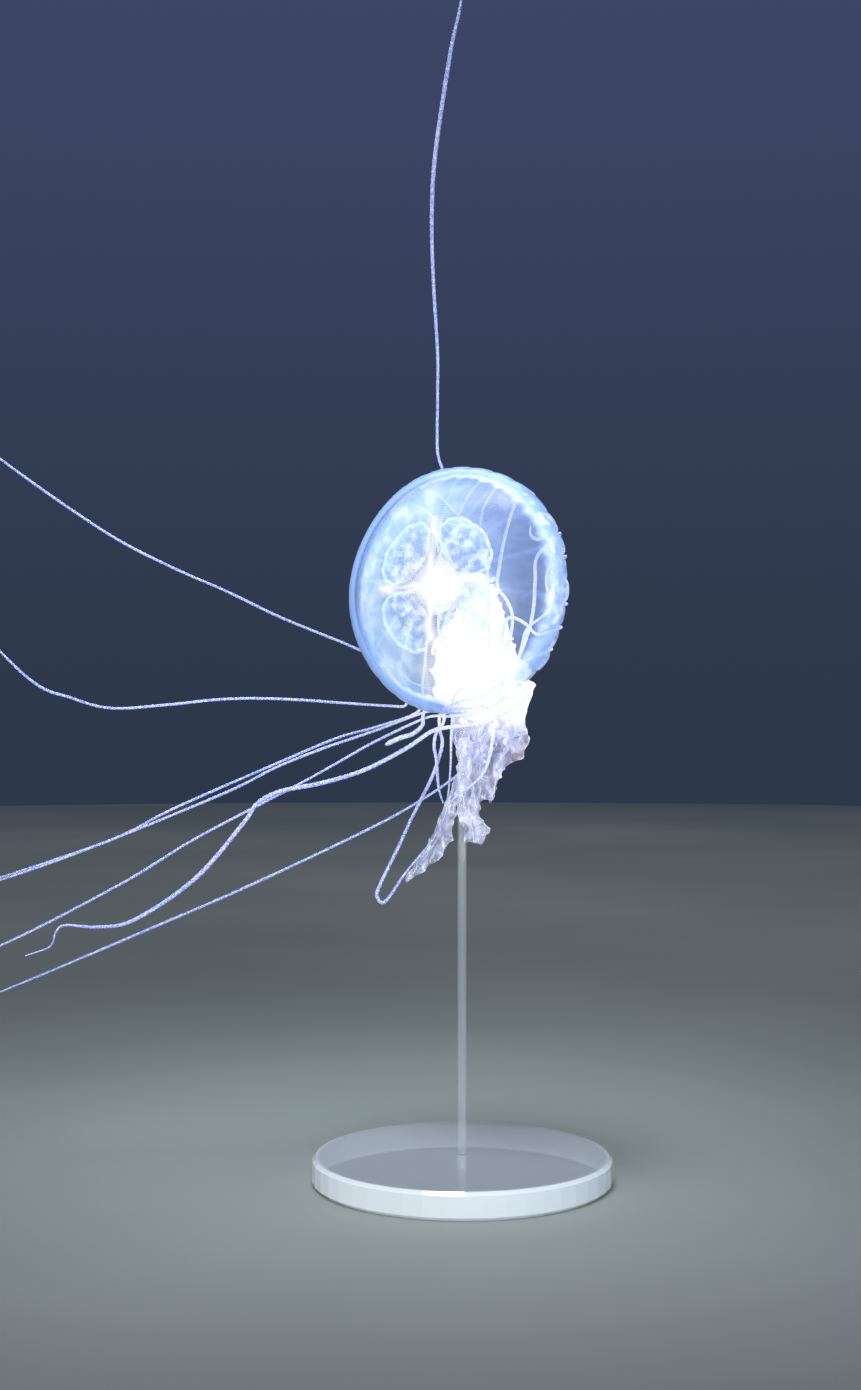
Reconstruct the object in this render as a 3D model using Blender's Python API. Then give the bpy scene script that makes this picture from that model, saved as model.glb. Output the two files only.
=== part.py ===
"""A sea nettle jellyfish, life size, held still on a clear display stand.

Units are metres and +Z is up. The origin is the middle of the stand's foot, on the surface it stands on.
The bell opens along AXIS. A direction round the bell is an angle from UP_IN_RIM towards RIGHT_IN_RIM, which
both lie in the plane of the rim. A depth along AXIS is positive behind the rim's plane, on the open side.
Places listed in MM are millimetres from the middle of the rim.
"""
import math

import bpy
import numpy as np

MM = 0.001
GAP = 0.0003
SHARP_FROM = math.radians(50.0)

# pose of the bell
TURN = math.radians(35.0)
LEAN = math.radians(9.0)
BELL_CENTRE = np.array([-2.8, -10.5, 260.0]) * MM
AXIS = np.array([math.sin(TURN) * math.cos(LEAN), math.cos(TURN), -math.sin(TURN) * math.sin(LEAN)])
UP_IN_RIM = np.array([math.sin(LEAN), 0.0, math.cos(LEAN)])
RIGHT_IN_RIM = np.array([math.cos(TURN) * math.cos(LEAN), -math.sin(TURN), -math.cos(TURN) * math.sin(LEAN)])

# bell
BELL_RADIUS = 54.5 * MM
DOME_HEIGHT = 27.5 * MM
GEL_AT_CROWN = 7.0 * MM
GEL_AT_RIM = 1.5 * MM
GEL_AT_LAPPET = 1.0 * MM
HOLLOW_RADIUS = BELL_RADIUS - GEL_AT_RIM
HOLLOW_HEIGHT = DOME_HEIGHT - GEL_AT_CROWN
LAPPETS = 32
STEPS_PER_LAPPET = 3
LAPPET_TIP_DEPTH = 7.5 * MM
NOTCH_DEPTH = 3.2 * MM
LAPPET_ROUNDNESS = 0.5
LAPPET_CURL = 1.6 * MM
RHOPALIUM_BUMP = 0.8 * MM
FIRST_RHOPALIUM = -1
NOTCHES_PER_RHOPALIUM = 4
DOME_RINGS = (18.0, 36.0, 54.0, 72.0, 90.0)

# stomach, gonads and mouth
GONAD_BEARING = 33.75
GONAD_HALF_SPREAD = 37.0
GONAD_INNER_RADIUS = 10.5 * MM
GONAD_OUTER_RADIUS = 31.0 * MM
GONAD_THICKNESS = 2.6 * MM
GONAD_SIDES = 12
GONAD_LEVELS = 6
MANUBRIUM_TOP_DEPTH = -19.6 * MM
MOUTH_DEPTH = 18.5 * MM
MANUBRIUM_RADIUS = 7.2 * MM
MOUTH_RADIUS = 8.6 * MM
MANUBRIUM_SIDES = 20
MANUBRIUM_STATIONS = ((0.0, 1.0), (0.25, 0.9), (0.6, 0.9), (0.85, 1.0), (1.0, 1.0))
CORNER_BULGE = 0.10
CORNER_BEARING = 11.25
DISH_SHARE = 0.55
DISH_EDGE_DEPTH = 3.0 * MM
DISH_DEPTH = 3.5 * MM

# oral arms: the bearing of each on the mouth, and its route from there
ARM_SIDES = 8
ARM_RING_SPACING = 5.5 * MM
ARM_START_RADIUS = 5.2 * MM
ARM_START_GAP = 0.3 * MM
ARM_LEAD = 2.0 * MM
ARM_THICKNESS = 3.4 * MM
ARM_TIP_THICKNESS = 1.0 * MM
ARM_FLAT_WAY = (1.0, 0.0, 0.2)
FRILL_GROWN_BY = 0.2
LEFT_FRILL_WAVE = 2.4 * MM
RIGHT_FRILL_WAVE = 2.1 * MM
RIGHT_FRILL_PHASE = 1.7
ARMS = {
    "right": {
        "bearing": 78.75,
        "half_width": (3.4, 4.2, 8.6, 7.4, 4.6, 1.8),
        "frill": 0.20,
        "route": [(20.5, 8.5, -21), (25, 6, -41), (27, 3, -53), (24.5, 0.5, -66), (19.5, -1, -76),
                  (16.5, -1.5, -85), (15, -1, -92)],
    },
    "front": {
        "bearing": 168.75,
        "half_width": (3.2, 4.2, 4.8, 5.4, 6.8, 6.4, 5.0, 5.8, 2.0),
        "frill": 0.16,
        "route": [(12.5, 15, -26), (13, 12, -48), (12.5, 8, -59), (8.5, 4, -68), (6.5, 3, -78),
                  (3.5, 2.5, -94), (5, 3, -106), (10, 4, -114)],
    },
    "left": {
        "bearing": -101.25,
        "half_width": (3.2, 4.4, 4.8, 4.6, 4.6, 5.8, 4.4, 1.4),
        "frill": 0.18,
        "route": [(4.5, 22.5, -9), (1.5, 21.5, -21), (-2.5, 18.5, -43), (1, 18, -57), (2.5, 18, -70), (1, 18, -82),
                  (-3.5, 17.5, -95), (-9, 17, -111), (-22, 16, -128)],
    },
    "rear": {
        "bearing": -11.25,
        "half_width": (3.0, 4.0, 4.6, 5.6, 5.8, 5.0, 3.6, 1.4),
        "frill": 0.18,
        "route": [(14.5, 27, -3), (17, 31, -13), (16, 31, -30), (14, 29, -52), (13, 27, -75), (10, 26, -93),
                  (11, 25, -109)],
    },
}

# tentacles: each grows from a notch, numbered round the rim from the top, clockwise from the crown's side
STEPS_PER_SPAN = 24
TENTACLE_SIDES = 6
TENTACLE_RADIUS = 0.8 * MM
TENTACLE_TIP_RADIUS = 0.32 * MM
TENTACLE_ROOT_RADIUS_ON_BELL = 52.0 * MM
TENTACLE_ROOT_DEPTH = 4.5 * MM
TENTACLE_TAPER = 0.22
LONGEST_RING_GAP = 20.0 * MM
BEND_PER_RING = math.radians(30.0)
NOTCH_EXIT = ((52.0, 5.4), (54.3, 5.9), (58.0, 6.3))
LEAD_BEHIND = 3.0 * MM
RING_TILT = 0.3
FREE_TENTACLES = {
    "up": {"notch": -2, "leaves": "through", "lengths": 2, "girth": (0.8, 1.0, 1.25, 1.2),
           "route": [(-8, 17, 63), (-8, 12, 85), (-8, 6, 104), (-10, -6, 136), (-10.5, -16, 160),
                     (-9, -26, 183), (-3, -42, 219), (1, -50, 236), (4, -58, 256)]},
    "left_high": {"notch": -11, "leaves": "through", "lengths": 2, "girth": (1.0, 1.0, 1.0),
                  "route": [(-52, 33.5, -21.5), (-79, 34, -10.5), (-104, 34, 1.5), (-129, 32, 12.5),
                            (-158, 28, 28), (-202, 18, 59), (-227, 12, 81)]},
    "left_mid": {"notch": -14, "leaves": "through", "lengths": 2, "girth": (1.0, 1.05, 1.0),
                 "route": [(-30, 18.5, -50.5), (-46.5, 18, -49.5), (-77, 18, -47.5), (-102, 16, -47.5),
                           (-127, 12, -50), (-151, 8, -51.5), (-168, 4, -47), (-186, 0, -38.5),
                           (-217, -10, -5)]},
    "hook": {"notch": -15, "leaves": "through", "lengths": 1, "girth": (1.0, 1.3, 1.3),
             "route": [(-14.5, 10, -58.5), (-16.5, 8, -61), (-19.5, 5.5, -63), (-24.5, 3.5, -64.5),
                       (-31, 2.5, -67.5)]},
    "hang_left": {"notch": 16, "leaves": "through", "lengths": 1, "girth": (1.0, 0.9, 0.8),
                  "route": [(-8.5, 7, -62), (-9.5, 9, -68), (-8.5, 11, -74.5), (-7.5, 11.5, -86.5),
                            (-5.5, 10.5, -93.5)]},
    "low_2": {"notch": 14, "leaves": "behind", "lengths": 3, "girth": (1.0, 1.0, 1.0),
              "route": [(2.5, 4.5, -51.5), (-4, 9, -52.3), (-14, 18, -53.5), (-35.5, 19, -61.5),
                        (-59, 17, -69.5), (-80, 15, -78), (-102, 13, -89), (-157, 8, -111.5),
                        (-199, 4, -126.5), (-233, 0, -135)]},
    "low_3": {"notch": 13, "leaves": "behind", "lengths": 3, "girth": (1.0, 1.0, 1.0),
              "route": [(10.5, 1, -53), (2.5, 5, -54.4), (-4, 8.6, -55.2), (-13, 14.5, -55.8), (-35, 15, -66),
                        (-52, 12, -75.5), (-70, 9, -85.5), (-113, 3, -108), (-146, 0, -128),
                        (-198, -3, -154.5), (-240, -6, -169)]},
    "low_4": {"notch": 12, "leaves": "through", "lengths": 3, "girth": (1.0, 1.3, 1.3, 1.25),
              "route": [(21, -12.5, -53.5), (13, -7, -57.3), (3, -1.5, -59), (-5, 1, -60), (-11, 3, -61.8),
                        (-22.5, 6, -69.5), (-40, 5, -78.5), (-58, 3, -84), (-76, 0, -87.5), (-86, -3, -92.5),
                        (-91.5, -6, -100.5), (-111.5, -14, -124), (-136.5, -20, -141), (-152, -22, -144),
                        (-165.5, -24, -143), (-169.5, -24, -146), (-172, -24, -152), (-182.5, -24, -156)]},
    "low_1": {"notch": 0, "leaves": "behind", "lengths": 3, "girth": (1.0, 1.0, 1.0),
              "route": [(4.5, 8, 40), (-1.5, 11, 27), (-8, 14, 12), (-11.5, 20, -12.5), (-14.5, 25, -39),
                        (-16, 25.5, -52.5), (-35.5, 26, -60), (-53, 26, -65), (-78, 26, -75.5),
                        (-126, 26, -96.5), (-154, 26, -110.5), (-204, 24, -127.5), (-243, 22, -139.5)]},
    "hang_mid": {"notch": 1, "leaves": "behind", "lengths": 2, "girth": (1.0, 0.9, 0.8),
                 "route": [(12.5, 4, 37), (10.5, 5, 24), (12.5, 3, 15), (14, 1, 4.5), (14, 0, -13),
                           (14.5, 1, -24), (9, 3, -36), (3.5, 5.5, -42), (-0.5, 10, -46.5),
                           (-1.5, 12, -51.5), (-1.5, 11.5, -57), (-2, 8.5, -64), (-2.2, 8, -75.5),
                           (-3, 10, -86.5), (-4, 12, -93.5)]},
    "hang_right": {"notch": 2, "leaves": "behind", "lengths": 2, "girth": (1.0, 0.9, 0.9),
                   "route": [(24, -2, 33), (21, 0, 22), (19, 0, 11), (18, -1, 1.5), (22, -1, -4.5),
                             (24.5, -2, -12), (23, -3, -24), (20.5, -4, -39), (16.5, -4, -55.5),
                             (15.5, -4.5, -67), (12.5, -4.5, -78), (7.5, -5.5, -84), (0.5, -6, -89),
                             (-3.5, -5, -93.5)]},
    "looped": {"notch": 5, "leaves": "behind", "lengths": 4, "girth": (1.0, 1.0, 1.0, 0.95),
               "route": [(34.5, -18, 13.5), (33.5, -18, 3.5), (33, -17, -7), (31, -14, -18),
                         (26, -10.5, -31), (19, -9, -40), (12, -3, -45.5), (5, 2.5, -47.5), (0, 8, -49.3),
                         (-4.5, 12.5, -52), (-7, 14, -55), (-7, 13, -61), (-6, 12.5, -68),
                         (-10, 14.5, -81), (-15.5, 16, -92.5), (-20, 16, -101.5), (-25.5, 16, -113.5),
                         (-34, 15, -131), (-34.5, 14.5, -135.5), (-31, 14, -137), (-22, 11, -124),
                         (-13, 10, -113), (-8, 10, -106), (-5, 8, -97)]},
    "curled": {"notch": 4, "leaves": "behind", "lengths": 1, "girth": (1.0, 1.3, 1.0),
               "route": [(38, -17, 27), (38, -15, 23), (35, -13, 21), (32, -10, 23), (32, -8, 27)]},
    "right_high": {"notch": 6, "leaves": "behind", "lengths": 1, "girth": (1.0, 1.0, 0.9),
                   "route": [(41, -22, 10), (38.5, -22, 7), (38, -21.5, 2), (38.5, -22, -2),
                             (38, -21, -5)]},
    "low_5": {"notch": 8, "leaves": "behind", "lengths": 3, "girth": (1.0, 1.0, 1.0),
              "route": [(41, -19, -8.5), (37, -9, -12), (31, 4, -17), (29, 18, -25.5), (24.5, 33, -43.5),
                        (14.5, 39, -66), (3, 39, -80.5), (-17, 38, -94.5), (-43, 36, -108.5),
                        (-92, 34, -131.5), (-130, 33, -148), (-205, 31, -179.5), (-236, 30, -189.5)]},
    "right_mid": {"notch": 9, "leaves": "behind", "lengths": 1, "girth": (1.0, 1.3, 1.1),
                  "route": [(34.5, -21, -20), (29.5, -18, -15.5), (24, -14, -12.5), (21, -11, -14.5),
                            (20, -9, -20.5), (19.5, -9, -28)]},
    "right_low": {"notch": 10, "leaves": "behind", "lengths": 1, "girth": (1.0, 1.0, 1.0),
                  "route": [(29.5, -19.5, -31), (25.5, -18, -32.5), (23.5, -17, -28), (20.5, -16.5, -23.5),
                            (17.5, -16.5, -20)]},
}
# tentacles that trail straight out behind the bell
TRAILING_NOTCHES = (-12, -10, -8, -7, -6, -4, -3)
TRAIL_LENGTH = 46.0 * MM
TRAIL_SAG = 9.0 * MM
TRAIL_WAVE = 2.6 * MM
TRAIL_GIRTH = (1.0, 0.9)
TRAIL_SHARES = (0.15, 0.3, 0.5, 0.7, 0.85, 1.0)
TRAIL_LENGTH_SPREAD = 0.12
TRAIL_LENGTH_TURN = 2.3
TRAIL_WAVE_TURN = 7.0
TRAIL_SIDE_DRIFT = 0.4

# stand
FOOT_RADIUS = 66.0 * MM
FOOT_THICKNESS = 12.0 * MM
FOOT_EDGE = 1.5 * MM
FOOT_SIDES = 48
ROD_RADIUS = 2.0 * MM
ROD_SIDES = 16
ROD_TOP = 250.2 * MM
ROD_PEG = 6.0 * MM

GEL = (0.62, 0.72, 1.0, 0.55)
MILKY = (0.86, 0.90, 1.0, 0.9)
ROSE = (0.95, 0.86, 0.92, 0.9)
LAVENDER = (0.84, 0.84, 0.97, 0.8)
CLEAR = (0.88, 0.92, 0.95, 0.5)


def clear_scene():
    for thing in list(bpy.data.objects):
        bpy.data.objects.remove(thing, do_unlink=True)


def material(name, colour, roughness):
    made = bpy.data.materials.get(name)
    if made:
        return made
    made = bpy.data.materials.new(name)
    made.use_nodes = True
    shader = made.node_tree.nodes["Principled BSDF"]
    shader.inputs["Base Color"].default_value = (*colour[:3], 1.0)
    shader.inputs["Alpha"].default_value = colour[3]
    shader.inputs["Roughness"].default_value = roughness
    shader.inputs["Metallic"].default_value = 0.0
    return made


def add_object(name, vertices, faces, finish):
    mesh = bpy.data.meshes.new(name)
    mesh.from_pydata([tuple(float(x) for x in v) for v in vertices], [], faces)
    mesh.validate()
    mesh.shade_smooth()
    mesh.set_sharp_from_angle(angle=SHARP_FROM)
    mesh.materials.append(finish)
    made = bpy.data.objects.new(name, mesh)
    bpy.context.scene.collection.objects.link(made)
    return made


def bell_point(bearing, radius, depth):
    """The point at a bearing (degrees) and radius round the bell's axis, at a depth along it."""
    turn = math.radians(bearing)
    in_rim = math.cos(turn) * UP_IN_RIM + math.sin(turn) * RIGHT_IN_RIM
    return BELL_CENTRE + radius * in_rim + depth * AXIS


def rings_to_faces(ring_count, sides, first, flip=False):
    """Quads between rings of equal length, whose vertices follow one another from index first."""
    faces = []
    for ring in range(ring_count - 1):
        for side in range(sides):
            a = first + ring * sides + side
            b = first + ring * sides + (side + 1) % sides
            quad = (a, b, b + sides, a + sides)
            faces.append(quad[::-1] if flip else quad)
    return faces


def closed_rings(rings, start_pole, end_pole):
    """A closed surface through rings of points, ended by a fan to a pole at each end."""
    sides = len(rings[0])
    vertices = [start_pole]
    for ring in rings:
        vertices.extend(ring)
    vertices.append(end_pole)
    faces = [(0, 1 + (side + 1) % sides, 1 + side) for side in range(sides)]
    faces += rings_to_faces(len(rings), sides, 1)
    last = len(vertices) - 1
    start = last - sides
    faces += [(start + side, start + (side + 1) % sides, last) for side in range(sides)]
    return vertices, faces


def is_rhopalium(notch):
    return (notch - FIRST_RHOPALIUM) % NOTCHES_PER_RHOPALIUM == 0


def hollow_depth(radius):
    """The hollow's surface under the crown: half an ellipse turned about the axis."""
    return -HOLLOW_HEIGHT * math.sqrt(max(0.0, 1.0 - (radius / HOLLOW_RADIUS) ** 2))


def make_bell(finish):
    """Dome, then 32 rounded lappets that curl in a little, then the hollow back to the crown."""
    sides = LAPPETS * STEPS_PER_LAPPET
    bearings = [360.0 * side / sides for side in range(sides)]

    def edge(side):
        lappet_share = (side % STEPS_PER_LAPPET) / STEPS_PER_LAPPET
        reach = math.sin(math.pi * lappet_share) ** LAPPET_ROUNDNESS
        depth = NOTCH_DEPTH + (LAPPET_TIP_DEPTH - NOTCH_DEPTH) * reach
        bump = 0.0
        if side % STEPS_PER_LAPPET == 0 and is_rhopalium(side // STEPS_PER_LAPPET):
            bump = RHOPALIUM_BUMP
        return depth, bump

    def curl(depth):
        return LAPPET_CURL * (depth / LAPPET_TIP_DEPTH) ** 2

    rings = []
    for step in DOME_RINGS:
        slope = math.radians(step)
        radius = BELL_RADIUS * math.sin(slope)
        depth = -DOME_HEIGHT * math.cos(slope)
        rings.append([bell_point(bearing, radius, depth) for bearing in bearings])
    outer_edge = []
    inner_edge = []
    for side, bearing in enumerate(bearings):
        depth, bump = edge(side)
        radius = BELL_RADIUS - curl(depth)
        outer_edge.append(bell_point(bearing, radius + bump, depth))
        inner_edge.append(bell_point(bearing, radius - GEL_AT_LAPPET, depth))
    rings += [outer_edge, inner_edge]
    for step in reversed(DOME_RINGS):
        slope = math.radians(step)
        radius = HOLLOW_RADIUS * math.sin(slope)
        depth = -HOLLOW_HEIGHT * math.cos(slope)
        rings.append([bell_point(bearing, radius, depth) for bearing in bearings])
    vertices, faces = closed_rings(rings, bell_point(0.0, 0.0, -DOME_HEIGHT),
                                   bell_point(0.0, 0.0, -HOLLOW_HEIGHT))
    add_object("bell", vertices, faces, finish)


def make_gonad(name, bearing, finish):
    """A petal-shaped pad under the crown: a ball stretched over bearing, radius and thickness."""
    mid_radius = (GONAD_INNER_RADIUS + GONAD_OUTER_RADIUS) / 2.0
    half_reach = (GONAD_OUTER_RADIUS - GONAD_INNER_RADIUS) / 2.0

    def pad_point(across, along, up):
        radius = mid_radius + half_reach * along
        turn = bearing + GONAD_HALF_SPREAD * across
        lift = GAP * 2.0 + GONAD_THICKNESS * (1.0 - up) / 2.0
        return bell_point(turn, radius, hollow_depth(radius) + lift)

    rings = []
    for level in range(1, GONAD_LEVELS):
        slope = math.pi * level / GONAD_LEVELS
        ring = []
        for side in range(GONAD_SIDES):
            turn = 2.0 * math.pi * side / GONAD_SIDES
            ring.append(pad_point(math.sin(slope) * math.sin(turn), math.sin(slope) * math.cos(turn),
                                  math.cos(slope)))
        rings.append(ring)
    vertices, faces = closed_rings(rings, pad_point(0.0, 0.0, 1.0), pad_point(0.0, 0.0, -1.0))
    add_object(name, vertices, faces, finish)


def make_manubrium(finish):
    """The four-cornered throat from the crown's hollow to the mouth, with a shallow dish for the mouth."""
    rings = []
    for share, fullness in MANUBRIUM_STATIONS:
        depth = MANUBRIUM_TOP_DEPTH + (MOUTH_DEPTH - MANUBRIUM_TOP_DEPTH) * share
        base = MANUBRIUM_RADIUS + (MOUTH_RADIUS - MANUBRIUM_RADIUS) * share
        ring = []
        for side in range(MANUBRIUM_SIDES):
            bearing = 360.0 * side / MANUBRIUM_SIDES
            corners = 1.0 + CORNER_BULGE * math.cos(4.0 * math.radians(bearing + CORNER_BEARING))
            ring.append(bell_point(bearing, base * fullness * corners, depth))
        rings.append(ring)
    lip = [bell_point(360.0 * side / MANUBRIUM_SIDES, MOUTH_RADIUS * DISH_SHARE,
                      MOUTH_DEPTH - DISH_EDGE_DEPTH) for side in range(MANUBRIUM_SIDES)]
    rings.append(lip)
    vertices, faces = closed_rings(rings, bell_point(0.0, 0.0, MANUBRIUM_TOP_DEPTH),
                                   bell_point(0.0, 0.0, MOUTH_DEPTH - DISH_DEPTH))
    add_object("manubrium", vertices, faces, finish)


def smooth_route(points):
    """A Catmull-Rom curve through the points, as many short straight steps."""
    points = np.array(points, dtype=float)
    padded = np.vstack([2 * points[0] - points[1], points, 2 * points[-1] - points[-2]])
    share = np.arange(STEPS_PER_SPAN)[:, None] / STEPS_PER_SPAN
    curve = []
    for before, here, there, after in zip(padded, padded[1:], padded[2:], padded[3:]):
        bend = 2 * before - 5 * here + 4 * there - after
        twist = -before + 3 * here - 3 * there + after
        curve.append(here + 0.5 * ((there - before) * share + bend * share**2 + twist * share**3))
    return np.vstack([*curve, points[-1:]])


def along(curve):
    """The distance along a curve to each of its points."""
    return np.concatenate([[0.0], np.cumsum(np.linalg.norm(np.diff(curve, axis=0), axis=1))])


def sample(curve, distances):
    """Points on a curve at the given distances, with the direction of travel at each."""
    lengths = along(curve)
    points = np.stack([np.interp(distances, lengths, curve[:, k]) for k in range(3)], axis=1)
    ahead = np.stack([np.interp(distances + MM, lengths, curve[:, k]) for k in range(3)], axis=1)
    back = np.stack([np.interp(distances - MM, lengths, curve[:, k]) for k in range(3)], axis=1)
    travel = ahead - back
    return points, travel / np.linalg.norm(travel, axis=1)[:, None]


def carried_frames(travel, first_side):
    """Two directions across the curve at each point, turned as little as possible from one to the next."""
    across = []
    side = np.array(first_side, dtype=float)
    for direction in travel:
        side = side - direction * side.dot(direction)
        side = side / np.linalg.norm(side)
        across.append(side)
    across = np.array(across)
    return across, np.cross(travel, across)


def ring_distances(curve, start, end):
    """Places for rings along a thread: far apart where it runs straight, close where it bends."""
    steps = np.diff(curve, axis=0)
    lengths = np.linalg.norm(steps, axis=1)
    travel = steps / lengths[:, None]
    bends = np.arccos(np.clip(np.sum(travel[1:] * travel[:-1], axis=1), -1.0, 1.0))
    load = lengths / LONGEST_RING_GAP + np.concatenate([[0.0], bends]) / BEND_PER_RING
    loads = np.concatenate([[0.0], np.cumsum(load)])
    first, last = np.interp([start, end], along(curve), loads)
    count = max(2, math.ceil(last - first) + 1)
    return np.interp(np.linspace(first, last, count), loads, along(curve))


def way_out(notch, leaves):
    """The first points of a tentacle: out through its notch, or straight back behind the rim."""
    bearing = notch * 360.0 / LAPPETS
    root = bell_point(bearing, TENTACLE_ROOT_RADIUS_ON_BELL, TENTACLE_ROOT_DEPTH)
    if leaves == "through":
        return [root, *(bell_point(bearing, radius * MM, depth * MM) for radius, depth in NOTCH_EXIT)]
    return [root, root + AXIS * LEAD_BEHIND]


def make_tentacle(name, notch, leaves, route, lengths, girth, finish):
    """A round tapering thread from its notch, cut into lengths that meet with a small gap."""
    curve = smooth_route([*way_out(notch, leaves), *route])
    total = along(curve)[-1]
    girth_places = np.linspace(0.0, 1.0, len(girth))
    cuts = np.linspace(0.0, total, lengths + 1)
    for number in range(lengths):
        start = cuts[number] + (GAP / 2.0 if number else 0.0)
        end = cuts[number + 1] - (GAP / 2.0 if number < lengths - 1 else 0.0)
        distances = ring_distances(curve, start, end)
        points, travel = sample(curve, distances)
        across, beside = carried_frames(travel, AXIS + RING_TILT * UP_IN_RIM)
        share = distances / total
        taper = np.clip((1.0 - share) / TENTACLE_TAPER, 0.0, 1.0)
        full = TENTACLE_RADIUS * np.interp(share, girth_places, girth)
        radii = TENTACLE_TIP_RADIUS + (full - TENTACLE_TIP_RADIUS) * taper
        rings = []
        for point, u, v, radius in zip(points, across, beside, radii):
            turns = [2.0 * math.pi * side / TENTACLE_SIDES for side in range(TENTACLE_SIDES)]
            rings.append([point + radius * (math.cos(turn) * u + math.sin(turn) * v) for turn in turns])
        vertices, faces = closed_rings(rings, points[0], points[-1])
        label = name if lengths == 1 else f"{name}_{number + 1}"
        add_object(label, vertices, faces, finish)


def make_arm(name, bearing, half_width, frill, route, finish):
    """A flat curtain that hangs from a corner of the mouth, with a frilled edge down both sides."""
    start = bell_point(bearing, ARM_START_RADIUS, MOUTH_DEPTH + ARM_START_GAP)
    lead = start + AXIS * ARM_LEAD
    curve = smooth_route([start, lead, *route])
    total = along(curve)[-1]
    widths_at = np.linspace(0.0, 1.0, len(half_width))
    for number, part in enumerate(("upper", "lower")):
        begin = total / 2.0 + GAP / 2.0 if number else 0.0
        end = total if number else total / 2.0 - GAP / 2.0
        distances = np.linspace(begin, end, int(round((end - begin) / ARM_RING_SPACING)) + 1)
        points, travel = sample(curve, distances)
        across, beside = carried_frames(travel, ARM_FLAT_WAY)
        share = distances / total
        widths = np.interp(share, widths_at, half_width) * MM
        depth = ARM_THICKNESS + (ARM_TIP_THICKNESS - ARM_THICKNESS) * share
        grown = np.clip(share / FRILL_GROWN_BY, 0.0, 1.0)
        left = widths * (1.0 + frill * grown * np.sin(distances / LEFT_FRILL_WAVE))
        right = widths * (1.0 + frill * grown * np.sin(distances / RIGHT_FRILL_WAVE + RIGHT_FRILL_PHASE))
        rings = []
        for k, point in enumerate(points):
            ring = []
            for side in range(ARM_SIDES):
                turn = 2.0 * math.pi * side / ARM_SIDES
                reach = right[k] if math.cos(turn) > 0 else left[k]
                sideways = math.cos(turn) * reach * across[k]
                ring.append(point + sideways + math.sin(turn) * depth[k] / 2.0 * beside[k])
            rings.append(ring)
        vertices, faces = closed_rings(rings, points[0], points[-1])
        add_object(f"{name}_{part}", vertices, faces, finish)


def trailing_route(notch):
    """Straight out behind the bell, sagging with the square of the distance and waving gently."""
    start = bell_point(notch * 360.0 / LAPPETS, TENTACLE_ROOT_RADIUS_ON_BELL, TENTACLE_ROOT_DEPTH)
    route = []
    length = TRAIL_LENGTH * (1.0 + TRAIL_LENGTH_SPREAD * math.sin(TRAIL_LENGTH_TURN * notch))
    for share in TRAIL_SHARES:
        wave = TRAIL_WAVE * share * math.sin(TRAIL_WAVE_TURN * share + notch)
        inward = bell_point(notch * 360.0 / LAPPETS, 1.0, 0.0) - BELL_CENTRE
        place = start + AXIS * length * share - inward * wave
        route.append(place + np.array([-TRAIL_SIDE_DRIFT * TRAIL_SAG * share, 0.0, -TRAIL_SAG * share**2]))
    return route


def turned(name, profile, sides, finish):
    """A solid of rings about the vertical axis, given as (radius, height) from the foot up."""
    rings = []
    for radius, height in profile:
        turns = [2.0 * math.pi * side / sides for side in range(sides)]
        rings.append([np.array([radius * math.cos(t), radius * math.sin(t), height]) for t in turns])
    bottom = np.array([0.0, 0.0, profile[0][1]])
    top = np.array([0.0, 0.0, profile[-1][1]])
    vertices, faces = closed_rings(rings, bottom, top)
    return add_object(name, vertices, faces, finish)


def make_stand(finish):
    """A turned disc with a blind hole, and a straight rod that stands in the hole."""
    hole_floor = FOOT_THICKNESS - ROD_PEG
    hole_radius = ROD_RADIUS + GAP
    foot = ((FOOT_RADIUS - FOOT_EDGE, 0.0), (FOOT_RADIUS, FOOT_EDGE),
            (FOOT_RADIUS, FOOT_THICKNESS - FOOT_EDGE), (FOOT_RADIUS - FOOT_EDGE, FOOT_THICKNESS),
            (hole_radius, FOOT_THICKNESS), (hole_radius, hole_floor))
    turned("stand_base", foot, FOOT_SIDES, finish)
    rod = ((ROD_RADIUS, hole_floor + GAP), (ROD_RADIUS, ROD_TOP))
    turned("stand_rod", rod, ROD_SIDES, finish)


def main():
    clear_scene()
    gel = material("gel", GEL, 0.25)
    milky = material("milky", MILKY, 0.35)
    rose = material("rose", ROSE, 0.4)
    lavender = material("lavender", LAVENDER, 0.35)
    clear = material("clear", CLEAR, 0.08)
    make_bell(gel)
    for number in range(4):
        make_gonad(f"gonad_{number + 1}", GONAD_BEARING + 90.0 * number, milky)
    make_manubrium(rose)
    for arm, design in ARMS.items():
        route = np.array(design["route"]) * MM + BELL_CENTRE
        make_arm(f"arm_{arm}", design["bearing"], design["half_width"], design["frill"], route, rose)
    for name, design in FREE_TENTACLES.items():
        route = np.array(design["route"]) * MM + BELL_CENTRE
        make_tentacle(f"tentacle_{name}", design["notch"], design["leaves"], route, design["lengths"],
                      design["girth"], lavender)
    for number, notch in enumerate(TRAILING_NOTCHES):
        make_tentacle(f"tentacle_trail_{number + 1}", notch, "behind", trailing_route(notch), 1,
                      TRAIL_GIRTH, lavender)
    make_stand(clear)


main()
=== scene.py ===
"""The looks of a sea nettle on its clear display stand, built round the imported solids.

Lengths typed in MM are millimetres. The places of routes are millimetres from the middle of the bell's rim.
"""
import math

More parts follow.
